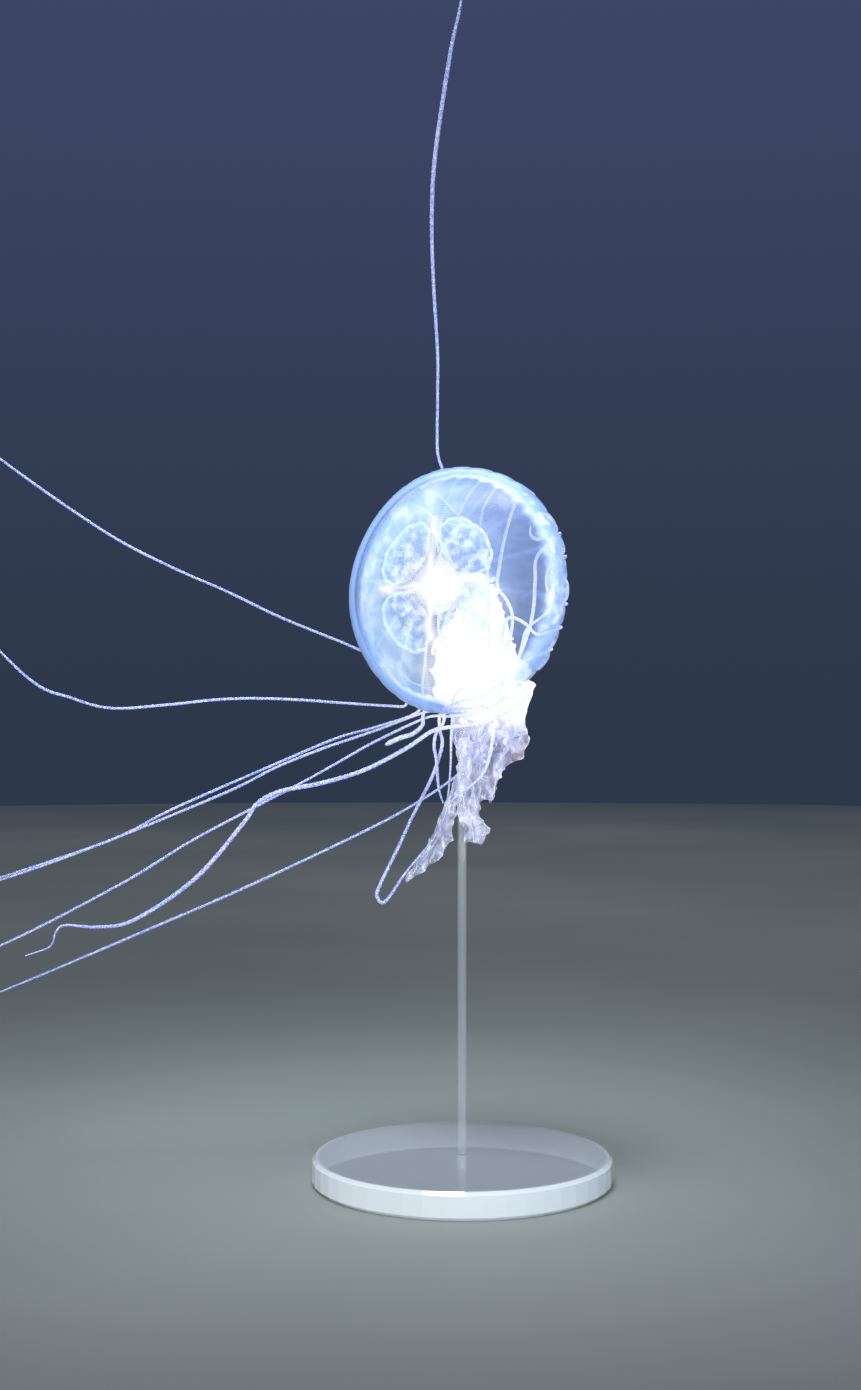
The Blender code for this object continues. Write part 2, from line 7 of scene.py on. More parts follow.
import bpy
import numpy as np
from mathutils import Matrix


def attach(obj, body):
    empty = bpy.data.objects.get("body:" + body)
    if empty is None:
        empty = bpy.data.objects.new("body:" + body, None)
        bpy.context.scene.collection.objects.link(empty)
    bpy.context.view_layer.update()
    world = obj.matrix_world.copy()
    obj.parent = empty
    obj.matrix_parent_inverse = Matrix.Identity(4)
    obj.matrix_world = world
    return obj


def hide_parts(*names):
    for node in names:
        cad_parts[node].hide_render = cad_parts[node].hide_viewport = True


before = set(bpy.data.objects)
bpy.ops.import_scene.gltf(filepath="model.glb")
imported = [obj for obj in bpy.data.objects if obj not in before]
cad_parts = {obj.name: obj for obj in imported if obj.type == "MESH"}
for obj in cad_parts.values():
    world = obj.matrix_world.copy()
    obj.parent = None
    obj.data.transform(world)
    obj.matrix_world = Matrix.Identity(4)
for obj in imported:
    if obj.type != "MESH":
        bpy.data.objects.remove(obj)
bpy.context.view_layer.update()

# The bell's gel. One clear dome with a thick crown, whose rim is cut into 32 rounded lappets with a small
# sense knob in every fourth notch. The same closed sheet turns round the lappets' edge and lines the hollow.
MM = 0.001
TURN, LEAN = math.radians(35.0), math.radians(9.0)
BELL_CENTRE = np.array([-2.8, -10.5, 260.0]) * MM
AXIS = np.array([math.sin(TURN) * math.cos(LEAN), math.cos(TURN), -math.sin(TURN) * math.sin(LEAN)])
UP_IN_RIM = np.array([math.sin(LEAN), 0.0, math.cos(LEAN)])
RIGHT_IN_RIM = np.array([math.cos(TURN) * math.cos(LEAN), -math.sin(TURN), -math.cos(TURN) * math.sin(LEAN)])
BELL_RADIUS, DOME_HEIGHT = 54.5 * MM, 27.5 * MM
HOLLOW_RADIUS, HOLLOW_HEIGHT = 53.0 * MM, 20.5 * MM
LAPPETS, STEPS_PER_LAPPET = 32, 10
LAPPET_TIP, LAPPET_NOTCH = 7.4 * MM, 3.3 * MM
LAPPET_CURL, LAPPET_THICKNESS, HEM_DEPTH = 1.6 * MM, 1.0 * MM, 0.25 * MM
LAPPET_FULLNESS, LAPPET_UNEVENNESS = 0.6, 0.35
FURROW_DEPTH, FURROW_SHARPNESS, FURROW_START = 0.45 * MM, 8, 0.9
KNOB_HEIGHT, KNOB_WIDTH, NOTCHES_PER_KNOB = 0.5 * MM, 0.20, 4
DOME_WAVES, DOME_UNEVENNESS, HOLLOW_UNEVENNESS = 5.0, 0.006, 0.004
DOME_RINGS, LAPPET_RINGS = 30, 7
DISC_SIZE, OUTER_DISC, LINING_DISC, DISC_HEIGHT = 0.235, 0.25, 0.75, 0.75
GEL_FINISH, LINING_FINISH, GONAD_FINISH, FOLD_FINISH, ORAL_FINISH, TENTACLE_FINISH = range(6)
skin_parts = []


def bell_place(bearing, radius, depth):
    """The middle of the rim, plus radius along the bearing round the rim, plus depth along the axis."""
    way = np.cos(bearing)[..., None] * UP_IN_RIM + np.sin(bearing)[..., None] * RIGHT_IN_RIM
    return BELL_CENTRE + np.asarray(radius)[..., None] * way + np.asarray(depth)[..., None] * AXIS


def hollow_depth(radius):
    """Minus the hollow's height times the square root of one less the square of the radius's share."""
    return -HOLLOW_HEIGHT * np.sqrt(np.clip(1.0 - (radius / HOLLOW_RADIUS) ** 2, 0.0, 1.0))


def closed_faces(rings, sides):
    """Quads between closed rings, a fan to a pole at each end, and each corner's place as (ring, side)."""
    ring, side = np.meshgrid(np.arange(rings - 1), np.arange(sides), indexing="ij")
    here, beyond = ring * sides + side, ring * sides + (side + 1) % sides
    quads = np.stack([here, beyond, beyond + sides, here + sides], -1).reshape(-1, 4)
    corners = np.stack([np.stack([ring, side], -1), np.stack([ring, side + 1], -1),
                        np.stack([ring + 1, side + 1], -1), np.stack([ring + 1, side], -1)], 2)
    corners = corners.reshape(-1, 4, 2)
    around = np.arange(sides)
    first, last, end = rings * sides, rings * sides + 1, (rings - 1) * sides
    start_fan = np.stack([np.full(sides, first), (around + 1) % sides, around], -1)
    end_fan = np.stack([np.full(sides, last), end + around, end + (around + 1) % sides], -1)
    start_corners = np.stack([np.stack([np.full(sides, -0.9), around + 0.5], -1),
                              np.stack([np.zeros(sides), around + 1.0], -1),
                              np.stack([np.zeros(sides), around + 0.0], -1)], 1)
    end_corners = np.stack([np.stack([np.full(sides, rings - 0.1), around + 0.5], -1),
                            np.stack([np.full(sides, rings - 1.0), around + 0.0], -1),
                            np.stack([np.full(sides, rings - 1.0), around + 1.0], -1)], 1)
    return quads, corners, np.vstack([start_fan, end_fan]), np.vstack([start_corners, end_corners])


def enclosed_volume(points, triangles):
    """A sixth of the sum of each triangle's first corner dotted with the cross product of the other two."""
    first, second, third = (points[triangles[:, k]] for k in range(3))
    return np.einsum("ij,ij->", first, np.cross(second, third)) / 6.0


def add_surface(grid, poles, unwrap, finish, second_finish=None, trim=None):
    """Keeps one closed surface for the skin: a grid of rings, its two poles, and its place on the bake map.

    A second finish covers the later half of the rings. The trim is one number a point, for the paler edges.
    Where the faces enclose a negative volume they look inwards, so the order of their corners is reversed.
    """
    rings, sides = grid.shape[:2]
    points = np.vstack([grid.reshape(-1, 3), poles])
    quads, corners, fans, fan_corners = closed_faces(rings, sides)
    placed = [unwrap(corners), unwrap(fan_corners)]
    quad_finish = np.full(len(quads), finish)
    fan_finish = np.full(len(fans), finish)
    if second_finish is not None:
        quad_finish[corners[:, 0, 0] >= rings // 2] = second_finish
        fan_finish[sides:] = second_finish
    if enclosed_volume(points - points.mean(0), np.vstack([quads[:, :3], quads[:, [0, 2, 3]], fans])) < 0.0:
        quads, fans = quads[:, ::-1], fans[:, ::-1]
        placed = [flat[:, ::-1] for flat in placed]
    skin_parts.append({
        "points": points, "quads": quads, "fans": fans,
        "map": np.vstack([flat.reshape(-1, 2) for flat in placed]),
        "finish": np.concatenate([quad_finish, fan_finish]),
        "trim": np.zeros(len(points)) if trim is None else trim,
    })


bearing = np.arange(LAPPETS * STEPS_PER_LAPPET) * 2.0 * np.pi / (LAPPETS * STEPS_PER_LAPPET)
lappet_place = bearing * LAPPETS / (2.0 * np.pi)
across_lappet = lappet_place % 1.0
lappet_edge = LAPPET_NOTCH + (LAPPET_TIP - LAPPET_NOTCH) * np.sin(np.pi * across_lappet) ** LAPPET_FULLNESS
furrow = np.cos(np.pi * across_lappet) ** FURROW_SHARPNESS
has_knob = np.mod(np.round(lappet_place) + 1, NOTCHES_PER_KNOB) == 0
knob = np.exp(-((np.minimum(across_lappet, 1.0 - across_lappet) / KNOB_WIDTH) ** 2)) * has_knob
lappet_lean = 1.0 + LAPPET_UNEVENNESS * np.sin(2.4 * np.floor(lappet_place))
dome_wave = 1.0 + np.sin(DOME_WAVES * bearing + 1.0)

slope = np.linspace(0.0, np.pi / 2.0, DOME_RINGS + 1)[1:, None]
near_rim = np.clip((np.sin(slope) - FURROW_START) / (1.0 - FURROW_START), 0.0, 1.0) ** 2
swell = 1.0 - DOME_UNEVENNESS * np.sin(slope) ** 2 * dome_wave
dome_radius = BELL_RADIUS * np.sin(slope) * swell - FURROW_DEPTH * furrow * near_rim
dome_depth = -DOME_HEIGHT * np.cos(slope) * swell + 0.0 * bearing
share = np.linspace(0.0, 1.0, LAPPET_RINGS + 1)[1:, None]
flap_depth = share * lappet_edge
flap_curl = LAPPET_CURL * (flap_depth / LAPPET_TIP) ** 2 * lappet_lean
flap_radius = dome_radius[-1] - flap_curl + KNOB_HEIGHT * knob * share**2
thickness = LAPPET_THICKNESS * (1.0 + 0.5 * (1.0 - share))
hem_depth = lappet_edge[None] + HEM_DEPTH
hem_radius = flap_radius[-1:] - 0.5 * LAPPET_THICKNESS
lining_slope = slope[::-1]
lining_radius = HOLLOW_RADIUS * np.sin(lining_slope) * (1.0 - HOLLOW_UNEVENNESS * dome_wave)
lining_depth = -HOLLOW_HEIGHT * np.cos(lining_slope) + 0.0 * bearing
bell_radii = np.vstack([dome_radius, flap_radius, hem_radius, (flap_radius - thickness)[::-1], lining_radius])
bell_depths = np.vstack([dome_depth, flap_depth, hem_depth, flap_depth[::-1], lining_depth])
bell_grid = bell_place(np.broadcast_to(bearing, bell_radii.shape), bell_radii, bell_depths)
bell_poles = BELL_CENTRE + np.outer([-DOME_HEIGHT, -HOLLOW_HEIGHT], AXIS)


def bell_unwrap(corners):
    """Two discs, the outer wall and the lining. A corner lies out from the middle by its ring's share."""
    rings = len(bell_radii)
    middle = rings // 2
    outer = corners[:, :, 0].mean(1, keepdims=True) < middle
    place = np.where(outer, corners[:, :, 0], rings - 1 - corners[:, :, 0]) + 1.0
    turn = corners[:, :, 1] * 2.0 * np.pi / len(bearing)
    spread = DISC_SIZE * place / (middle + 1.0)
    disc = np.where(outer, OUTER_DISC, LINING_DISC)
    return np.stack([disc + spread * np.cos(turn), DISC_HEIGHT + spread * np.sin(turn)], -1)


add_surface(bell_grid, bell_poles, bell_unwrap, GEL_FINISH, LINING_FINISH)


class Wire:
    """A socket of a material, on which sums are written as they are read. node() adds any other node."""

    def __init__(self, tree, socket):
        self.tree, self.socket = tree, socket

    def node(self, kind, settings=None, sockets=None, output=0):
        """A new node of the kind, with its settings made first and then its sockets linked or given values."""
        made = self.tree.nodes.new(kind)
        for name, value in (settings or {}).items():
            setattr(made, name, value)
        for name, value in (sockets or {}).items():
            if isinstance(value, Wire):
                self.tree.links.new(value.socket, made.inputs[name])
            else:
                made.inputs[name].default_value = value
        return Wire(self.tree, made.outputs[output])

    def maths(self, operation, *others):
        """A Math node on this value and the others."""
        return self.node("ShaderNodeMath", {"operation": operation}, dict(enumerate((self, *others))))

    def __add__(self, other):
        return self.maths("ADD", other)

    def __mul__(self, other):
        return self.maths("MULTIPLY", other)

    def __sub__(self, other):
        return self.maths("SUBTRACT", other)

    def __rsub__(self, other):
        return self.node("ShaderNodeMath", {"operation": "SUBTRACT"}, {0: other, 1: self})

    def __truediv__(self, other):
        return self.maths("DIVIDE", other)

    def __pow__(self, other):
        return self.maths("POWER", other)

    __radd__, __rmul__ = __add__, __mul__

    def clamped(self):
        """The value held between 0 and 1."""
        return self.node("ShaderNodeClamp", {}, {0: self, 1: 0.0, 2: 1.0})

    def step(self, low, high):
        """A smooth step from 0 below low to 1 above high."""
        return self.node("ShaderNodeMapRange", {"interpolation_type": "SMOOTHSTEP"},
                         {0: self, 1: low, 2: high, 3: 0.0, 4: 1.0})

    def ridge(self, middle, width):
        """One at the middle, falling as a bell curve of that width."""
        return (((self - middle) / width) ** 2.0 * -1.0).maths("EXPONENT")

    def mixed(self, first, second):
        """The colour first where this value is 0 and second where it is 1."""
        return self.node("ShaderNodeMix", {"data_type": "RGBA"}, {0: self, 6: first, 7: second}, 2)

    def dot(self, way):
        """How far this place lies along a direction."""
        return self.node("ShaderNodeVectorMath", {"operation": "DOT_PRODUCT"}, {0: self, 1: tuple(way)}, 1)

    def noise(self, scale, detail=3.0, stretch=(1.0, 1.0, 1.0)):
        """Soft noise about 0.5 over this place, with so many waves to the metre."""
        place = self.node("ShaderNodeMapping", {}, {0: self, 3: stretch})
        return self.node("ShaderNodeTexNoise", {}, {"Vector": place, "Scale": scale, "Detail": detail})


WET_IOR, COAT_ROUGHNESS, SHEEN_ROUGHNESS = 1.36, 0.12, 0.35
SCATTER_COLOURS, SCATTER_DEPTH = (1.0, 0.9, 0.9), 1.5 * MM


def new_material(name, roughness, coat=0.0, sheen=0.0, subsurface=0.0, emission=0.0):
    """A wet finish with constant values on the shader. Gives the material, its place and a way to fill it."""
    made = bpy.data.materials.new(name)
    made.use_nodes = True
    tree = made.node_tree
    shader = tree.nodes["Principled BSDF"]
    constants = {
        "Roughness": roughness, "IOR": WET_IOR, "Coat Weight": coat, "Coat Roughness": COAT_ROUGHNESS,
        "Sheen Weight": sheen, "Sheen Roughness": SHEEN_ROUGHNESS, "Subsurface Weight": subsurface,
        "Subsurface Radius": SCATTER_COLOURS, "Subsurface Scale": SCATTER_DEPTH,
        "Emission Strength": emission,
    }
    for socket, value in constants.items():
        shader.inputs[socket].default_value = value
    place = Wire(tree, tree.nodes.new("ShaderNodeTexCoord").outputs["Object"])

    def fill(**values):
        for socket, value in values.items():
            tree.links.new(value.socket, shader.inputs[socket.replace("_", " ")])

    return made, place, fill


def colour(red, green, blue):
    """A linear colour with full alpha."""
    return (red, green, blue, 1.0)


def bell_measures(place):
    """A point's radius in millimetres, bearing, depth in millimetres and share of the way to the rim's right.

    The radius is the root of the summed squares of the ways up and right in the rim, the bearing is their
    arctangent, and the depth is the way along the axis. The share is 1 at the right edge and -1 at the left.
    """
    offset = place.node("ShaderNodeVectorMath", {"operation": "SUBTRACT"}, {0: place, 1: tuple(BELL_CENTRE)})
    upward, rightward = offset.dot(UP_IN_RIM / MM), offset.dot(RIGHT_IN_RIM / MM)
    radius = (upward * upward + rightward * rightward).maths("SQRT")
    return radius, rightward.maths("ARCTAN2", upward), offset.dot(AXIS / MM), rightward / (BELL_RADIUS / MM)


def over_arms(turn, radius):
    """1 where the rim passes over the arms, by the bearing's cosine and the radius, and 0 elsewhere."""
    return (turn - ARMS_BEARING).maths("COSINE").step(0.915, 0.98) * radius.step(44.0, 49.0)


ARMS_BEARING = math.radians(151.0)
GEL_CLEAR, GEL_BAND, GEL_WHITE = colour(0.55, 0.76, 1.0), colour(0.30, 0.51, 1.0), colour(0.80, 0.87, 1.0)
CLEAR_HAZE, BAND_HAZE, HEM_HAZE = 0.07, 0.80, 0.25
FURROW_HAZE, STREAK_HAZE, RIPPLE_HAZE, LAPPET_CLEARING, ARMS_CLEARING = 0.18, 0.05, 0.42, 0.12, 0.92
BAND_START, BAND_SHIFT, BAND_BEND = 47.5, 6.5, 3.5
gel, gel_place, fill_gel = new_material("bell_gel_clear", 0.16, coat=0.3, sheen=0.15)
radius, turn, depth, rightness = bell_measures(gel_place)
band_start = BAND_START + rightness * BAND_SHIFT - rightness * rightness * BAND_BEND
band = (radius + depth.maths("MAXIMUM", 0.0) * 0.6 - band_start).step(-0.5, 4.0)
lappet = depth.step(-1.0, 2.5)
streaks = gel_place.noise(420.0, 2.0).step(0.35, 0.75)
furrows = ((turn * (LAPPETS / 2.0)).maths("COSINE") ** 2.0) ** 6.0
hem = depth.step(5.6, 7.4)
right_side = rightness.step(0.30, 0.95)
ripples = gel_place.noise(130.0, 3.0).step(0.47, 0.66) * right_side * band
gel_alpha = (CLEAR_HAZE + band * BAND_HAZE * (1.0 - right_side * 0.50) - lappet * LAPPET_CLEARING
             + hem * HEM_HAZE + furrows * lappet * FURROW_HAZE + streaks * STREAK_HAZE
             + ripples * RIPPLE_HAZE)
gel_alpha = gel_alpha * (1.0 - over_arms(turn, radius) * ARMS_CLEARING)
gel_tint = band.mixed(GEL_CLEAR, GEL_BAND)
gel_tint = (hem * 0.6 + furrows * lappet * 0.3 + ripples * 0.8).clamped().mixed(gel_tint, GEL_WHITE)
fill_gel(Base_Color=gel_tint, Alpha=gel_alpha.clamped())

# The bell's lining. A milky film inside the hollow, with a scalloped white line near the rim, sixteen faint
# canals, and a white cross under the crown where the stomach's corners run out. The right side is clearer.
LINING_BLUE, LINING_DEEP = colour(0.48, 0.70, 1.0), colour(0.30, 0.44, 1.0)
LINE_WHITE, BY_ARMS_PAINTED_GLOW = colour(0.90, 0.95, 1.0), colour(0.86, 0.88, 1.0)
CROSS_ROSE = colour(1.0, 0.92, 0.94)
FILM_HAZE, INSIDE_HAZE, MILK_HAZE, BLOTCH_HAZE, LINE_HAZE = 0.07, 0.04, 0.42, 0.16, 0.88
RING_HAZE, CANAL_HAZE, CROWN_HAZE, HEART_HAZE = 0.07, 0.08, 0.10, 0.10
CROSS_HAZE, CROSS_MOTTLE, RIGHT_HAZE, LINING_ARMS_CLEARING = 0.26, 0.20, 0.09, 0.90
LINE_RADIUS, LINE_SHIFT, LINE_WIDTH, LINE_WANDER = 47.2, 3.8, 1.15, 1.6
CROSS_BEARING, CROSS_BEND = math.radians(78.75), 0.28
lining, lining_place, fill_lining = new_material("bell_lining_milky", 0.3, coat=0.2, sheen=0.2)
radius, turn, depth, rightness = bell_measures(lining_place)
right_side = rightness.step(0.05, 0.65)
scallop = (turn * (LAPPETS / 2.0)).maths("SINE").maths("ABSOLUTE") * 0.6 + (turn * 48.0).maths("SINE") * 0.25
wander = lining_place.noise(60.0, 2.0) * LINE_WANDER
line_radius = LINE_RADIUS + rightness * LINE_SHIFT + scallop + wander
margin_line = radius.ridge(line_radius + 0.5, LINE_WIDTH + right_side * 0.75) * (1.0 - right_side * 0.35)
inside = 1.0 - (radius - line_radius).step(1.4, 4.0)
milk = radius.step(20.0, 37.0) * inside * (0.70 - rightness * 0.95).clamped()
under_crown = 1.0 - radius.step(28.0, 40.0)
heart = 1.0 - radius.step(2.0, 17.0)
bent = turn - CROSS_BEARING + (lining_place.noise(60.0, 2.0) - 0.5) * CROSS_BEND
cross = ((bent * 2.0).maths("COSINE") ** 2.0) ** 14.0 * (1.0 - radius.step(22.0, 33.0))
blotch = lining_place.noise(95.0, 4.0).step(0.38, 0.68)
rings = ((radius * 5.6 + lining_place.noise(50.0, 2.0) * 3.0).maths("SINE") * 0.5 + 0.5)
canals = ((turn * 8.0 + 0.6 * lining_place.noise(35.0, 2.0)).maths("COSINE") ** 2.0) ** 24.0
lining_alpha = (FILM_HAZE + inside * INSIDE_HAZE + milk * (MILK_HAZE + blotch * BLOTCH_HAZE)
                + margin_line * LINE_HAZE + rings * inside * (1.0 - right_side) * RING_HAZE
                + canals * inside * CANAL_HAZE + under_crown * CROWN_HAZE + heart * HEART_HAZE
                + cross * (CROSS_HAZE + blotch * CROSS_MOTTLE) + right_side * inside * RIGHT_HAZE)
lining_alpha = lining_alpha * (1.0 - over_arms(turn, radius) * LINING_ARMS_CLEARING)
# Painted glow: the lining is whitened where it lies over the bright arms, as if lit by them.
painted_glow_facing_arms = (turn - ARMS_BEARING).maths("COSINE").step(0.80, 0.93)
lining_tint = rightness.step(-0.1, 0.6).mixed(LINING_BLUE, LINING_DEEP)
lining_tint = (margin_line + blotch * milk * 0.5).clamped().mixed(lining_tint, LINE_WHITE)
lining_tint = (painted_glow_facing_arms * radius.step(8.0, 24.0)).mixed(lining_tint, BY_ARMS_PAINTED_GLOW)
lining_tint = (cross * 0.8 + heart).clamped().mixed(lining_tint, CROSS_ROSE)
fill_lining(Base_Color=lining_tint, Alpha=lining_alpha.clamped())

# The gonads and stomach. Four horseshoes of pleated tissue, each round a thin mottled pouch under the crown,
# and between them four pale threads that run from the pouches' corners down to the throat.
GONAD_BEARINGS = np.radians(33.75 + 90.0 * np.arange(4))
GONAD_SPREAD = math.radians(40.0)
GONAD_MIDDLE, GONAD_REACH = 20.9 * MM, 10.6 * MM
PAD_RINGS, PAD_SIDES = 12, 32
FOLD_RINGS, FOLD_SIDES = 120, 8
PETAL_POWER = 0.72
PAD_GAP, PAD_SWELL, PAD_RIPPLE = 0.9 * MM, 0.9 * MM, 0.25 * MM
FOLD_SWEEP, FOLD_PLEATS, FOLD_RADIUS, FOLD_BEADING = 2.2, 13.0, 0.80 * MM, 0.22
FOLD_SPREAD, PLEAT_DEPTH, FOLD_GAP, FOLD_RIPPLE = 0.93, 0.035, 1.9, 0.35
THREAD_RINGS, THREAD_START, THREAD_RUN, THREAD_RADIUS = 36, 30.0 * MM, 23.5 * MM, 0.75 * MM


def smooth_route(points, steps=24):
    """A Catmull-Rom curve through the points: each span is a cubic set by its ends and their neighbours."""
    points = np.array(points, float)
    padded = np.vstack([2 * points[0] - points[1], points, 2 * points[-1] - points[-2]])
    share = (np.arange(steps) / steps)[None, :, None]
    before, here, there, after = (padded[k:len(padded) - 3 + k, None] for k in range(4))
    bend = 2 * before - 5 * here + 4 * there - after
    twist = -before + 3 * here - 3 * there + after
    curve = here + 0.5 * ((there - before) * share + bend * share**2 + twist * share**3)
    return np.vstack([curve.reshape(-1, points.shape[1]), points[-1:]])


def along(curve):
    """The distance along a curve to each of its points."""
    return np.concatenate([[0.0], np.cumsum(np.linalg.norm(np.diff(curve, axis=0), axis=1))])


def sample(curve, distances):
    """Points on a curve at the distances, and the direction of travel there, over a millimetre each way."""
    lengths = along(curve)
    places = [np.stack([np.interp(distances + shift, lengths, curve[:, k]) for k in range(3)], 1)
              for shift in (0.0, MM, -MM)]
    travel = places[1] - places[2]
    return places[0], travel / np.linalg.norm(travel, axis=1)[:, None]


def cross_frames(travel, flat_way):
    """Two directions across the travel: the flat way less its part along it, and their cross product."""
    flat_way = np.asarray(flat_way, float)
    across = flat_way - travel * (travel @ flat_way)[:, None]
    across /= np.linalg.norm(across, axis=1)[:, None]
    return across, np.cross(travel, across)


def round_tube(points, travel, radii, sides):
    """Circles of the given radii round the points, square to the travel."""
    off_plane = np.linalg.svd(points - points.mean(0), full_matrices=False)[2][-1]
    across, beside = cross_frames(travel, off_plane)
    turns = np.arange(sides) * 2.0 * np.pi / sides
    ring = np.cos(turns)[None, :, None] * across[:, None] + np.sin(turns)[None, :, None] * beside[:, None]
    return points[:, None] + radii[:, None, None] * ring


def strip_unwrap(rings, sides, left, bottom, width, height):
    """A strip of the bake map: along it by the ring's share, up it by the side's share."""
    def unwrap(corners):
        along_share = np.clip((corners[:, :, 0] + 1.0) / (rings + 1.0), 0.0, 1.0)
        return np.stack([left + width * along_share, bottom + height * corners[:, :, 1] / sides], -1)
    return unwrap


def petal(turns, spread):
    """A rounded petal: cosine gives the place out and sine the place round, each to a power under one."""
    out, around = spread * np.cos(turns), spread * np.sin(turns)
    fuller = [np.sign(value) * np.abs(value) ** PETAL_POWER for value in (out, around)]
    return GONAD_MIDDLE + GONAD_REACH * fuller[0], GONAD_SPREAD * fuller[1]


for number, middle in enumerate(GONAD_BEARINGS):
    level = (np.arange(1, PAD_RINGS) * np.pi / PAD_RINGS)[:, None]
    turns = (np.arange(PAD_SIDES) * 2.0 * np.pi / PAD_SIDES)[None]
    radius, sideways = petal(turns, np.sin(level))
    bearing = middle + sideways
    ripple = PAD_RIPPLE * np.sin(9.0 * bearing) * np.sin(radius / MM)
    depth = hollow_depth(radius) + PAD_GAP + PAD_SWELL * (1.0 - np.cos(level)) + ripple * np.sin(level)
    grid = bell_place(bearing, radius, depth)
    poles = bell_place(np.full(2, middle), np.full(2, GONAD_MIDDLE),
                       hollow_depth(GONAD_MIDDLE) + PAD_GAP + PAD_SWELL * np.array([0.0, 2.0]))
    unwrap = strip_unwrap(PAD_RINGS - 1, PAD_SIDES, 0.01 + 0.12 * number, 0.42, 0.11, 0.07)
    add_surface(grid, poles, unwrap, GONAD_FINISH)
    sweep = np.linspace(-FOLD_SWEEP, FOLD_SWEEP, FOLD_RINGS)
    pleat = np.sin(sweep * FOLD_PLEATS + number)
    radius, sideways = petal(sweep, FOLD_SPREAD + PLEAT_DEPTH * pleat)
    bearing = middle + sideways
    depth = hollow_depth(radius) + (FOLD_GAP + FOLD_RIPPLE * np.cos(sweep * FOLD_PLEATS)) * MM
    curve = bell_place(bearing, radius, depth)
    points, travel = sample(curve, np.linspace(0.0, along(curve)[-1], FOLD_RINGS))
    ends = np.sin((sweep / FOLD_SWEEP + 1.0) * np.pi / 2.0) ** 0.35
    thick = (1.0 + FOLD_BEADING * np.sin(sweep * 2.0 * FOLD_PLEATS)) * ends * FOLD_RADIUS
    tube = round_tube(points, travel, thick, FOLD_SIDES)
    unwrap = strip_unwrap(FOLD_RINGS, FOLD_SIDES, 0.01 + 0.245 * number, 0.395, 0.235, 0.012)
    add_surface(tube, points[[0, -1]], unwrap, FOLD_FINISH)
    fall = np.linspace(0.0, 1.0, THREAD_RINGS)
    radius = THREAD_START - THREAD_RUN * fall
    bearing = middle + math.pi / 4.0 + 0.06 * np.sin(7.0 * fall + number)
    depth = (hollow_depth(THREAD_START) + 1.2 * MM) * (1.0 - fall**1.5) - 1.0 * MM * fall
    curve = bell_place(bearing, radius, depth)
    points, travel = sample(curve, np.linspace(0.0, along(curve)[-1], THREAD_RINGS))
    thick = THREAD_RADIUS * (1.0 + fall + 0.20 * np.sin(fall * 40.0))
    tube = round_tube(points, travel, thick, FOLD_SIDES)
    unwrap = strip_unwrap(THREAD_RINGS, FOLD_SIDES, 0.5 + 0.1225 * number, 0.42, 0.115, 0.012)
    add_surface(tube, points[[0, -1]], unwrap, FOLD_FINISH)

GONAD_BLUE, GONAD_WHITE = colour(0.40, 0.58, 1.0), colour(0.94, 0.97, 1.0)
GONAD_ROSE, FOLD_WHITE, FOLD_ROSE = colour(1.0, 0.85, 0.90), colour(0.93, 0.97, 1.0), colour(1.0, 0.84, 0.88)
gonad, gonad_place, fill_gonad = new_material("gonad_tissue_pale", 0.4, coat=0.15, sheen=0.2, subsurface=0.2)
radius = bell_measures(gonad_place)[0]
outer_edge = radius.step(24.0, 30.0)
speckle = gonad_place.noise(230.0, 4.0).step(0.42, 0.66)
rose = (1.0 - radius.step(9.0, 22.0)) * 0.7 + gonad_place.noise(120.0).step(0.62, 0.8) * 0.5
gonad_tint = rose.clamped().mixed(speckle.mixed(GONAD_BLUE, GONAD_WHITE), GONAD_ROSE)
fill_gonad(Base_Color=gonad_tint, Alpha=(0.16 + speckle * 0.40 + outer_edge * 0.10).clamped())

fold, fold_place, fill_fold = new_material("gonad_folds_white", 0.35, coat=0.2, sheen=0.2)
grain = fold_place.noise(520.0, 3.0).step(0.3, 0.6)
warm = (1.0 - bell_measures(fold_place)[0].step(7.0, 20.0)) * 0.8
fill_fold(Base_Color=warm.mixed(FOLD_WHITE, FOLD_ROSE), Alpha=(0.52 + grain * 0.33).clamped())

# The throat. A four-cornered column from the crown's hollow to the mouth, flared where it leaves the
# stomach, with a soft frilled lip. It is the most solid tissue in the bell, white with a breath of pink.
THROAT_TOP, MOUTH_DEPTH = -19.0 * MM, 18.3 * MM
THROAT_RINGS, THROAT_SIDES = 48, 64
THROAT_RADIUS, THROAT_SPREAD, FLARE_SPREAD, FLARE_LENGTH = 6.0, 1.8, 6.5, 0.30
LIP_FRILLS, LIP_SPREAD, LIP_FRILL_HEIGHT = 16, 1.2, 0.5
FIRST_CORNER, CORNER_SWELL, CORNER_GROWTH = math.radians(11.25), 0.09, 0.05
share = np.linspace(0.0, 1.0, THROAT_RINGS)[:, None]
turns = (np.arange(THROAT_SIDES) * 2.0 * np.pi / THROAT_SIDES)[None]
flare = FLARE_SPREAD * np.exp(-((share / FLARE_LENGTH) ** 2)) + LIP_SPREAD * share**6
corners = 1.0 + (CORNER_SWELL + CORNER_GROWTH * share) * np.cos(4.0 * (turns + FIRST_CORNER))
lip = LIP_FRILL_HEIGHT * share**8 * np.sin(turns * LIP_FRILLS)
throat_radius = (THROAT_RADIUS + THROAT_SPREAD * share + flare + lip) * corners * MM
throat_depth = THROAT_TOP + (MOUTH_DEPTH - THROAT_TOP) * share + 0.0 * turns
throat_grid = bell_place(np.broadcast_to(turns, throat_radius.shape), throat_radius, throat_depth)
throat_poles = BELL_CENTRE + np.outer([THROAT_TOP, MOUTH_DEPTH - 3.0 * MM], AXIS)
add_surface(throat_grid, throat_poles, strip_unwrap(THROAT_RINGS, THROAT_SIDES, 0.5, 0.44, 0.24, 0.05),
            ORAL_FINISH)
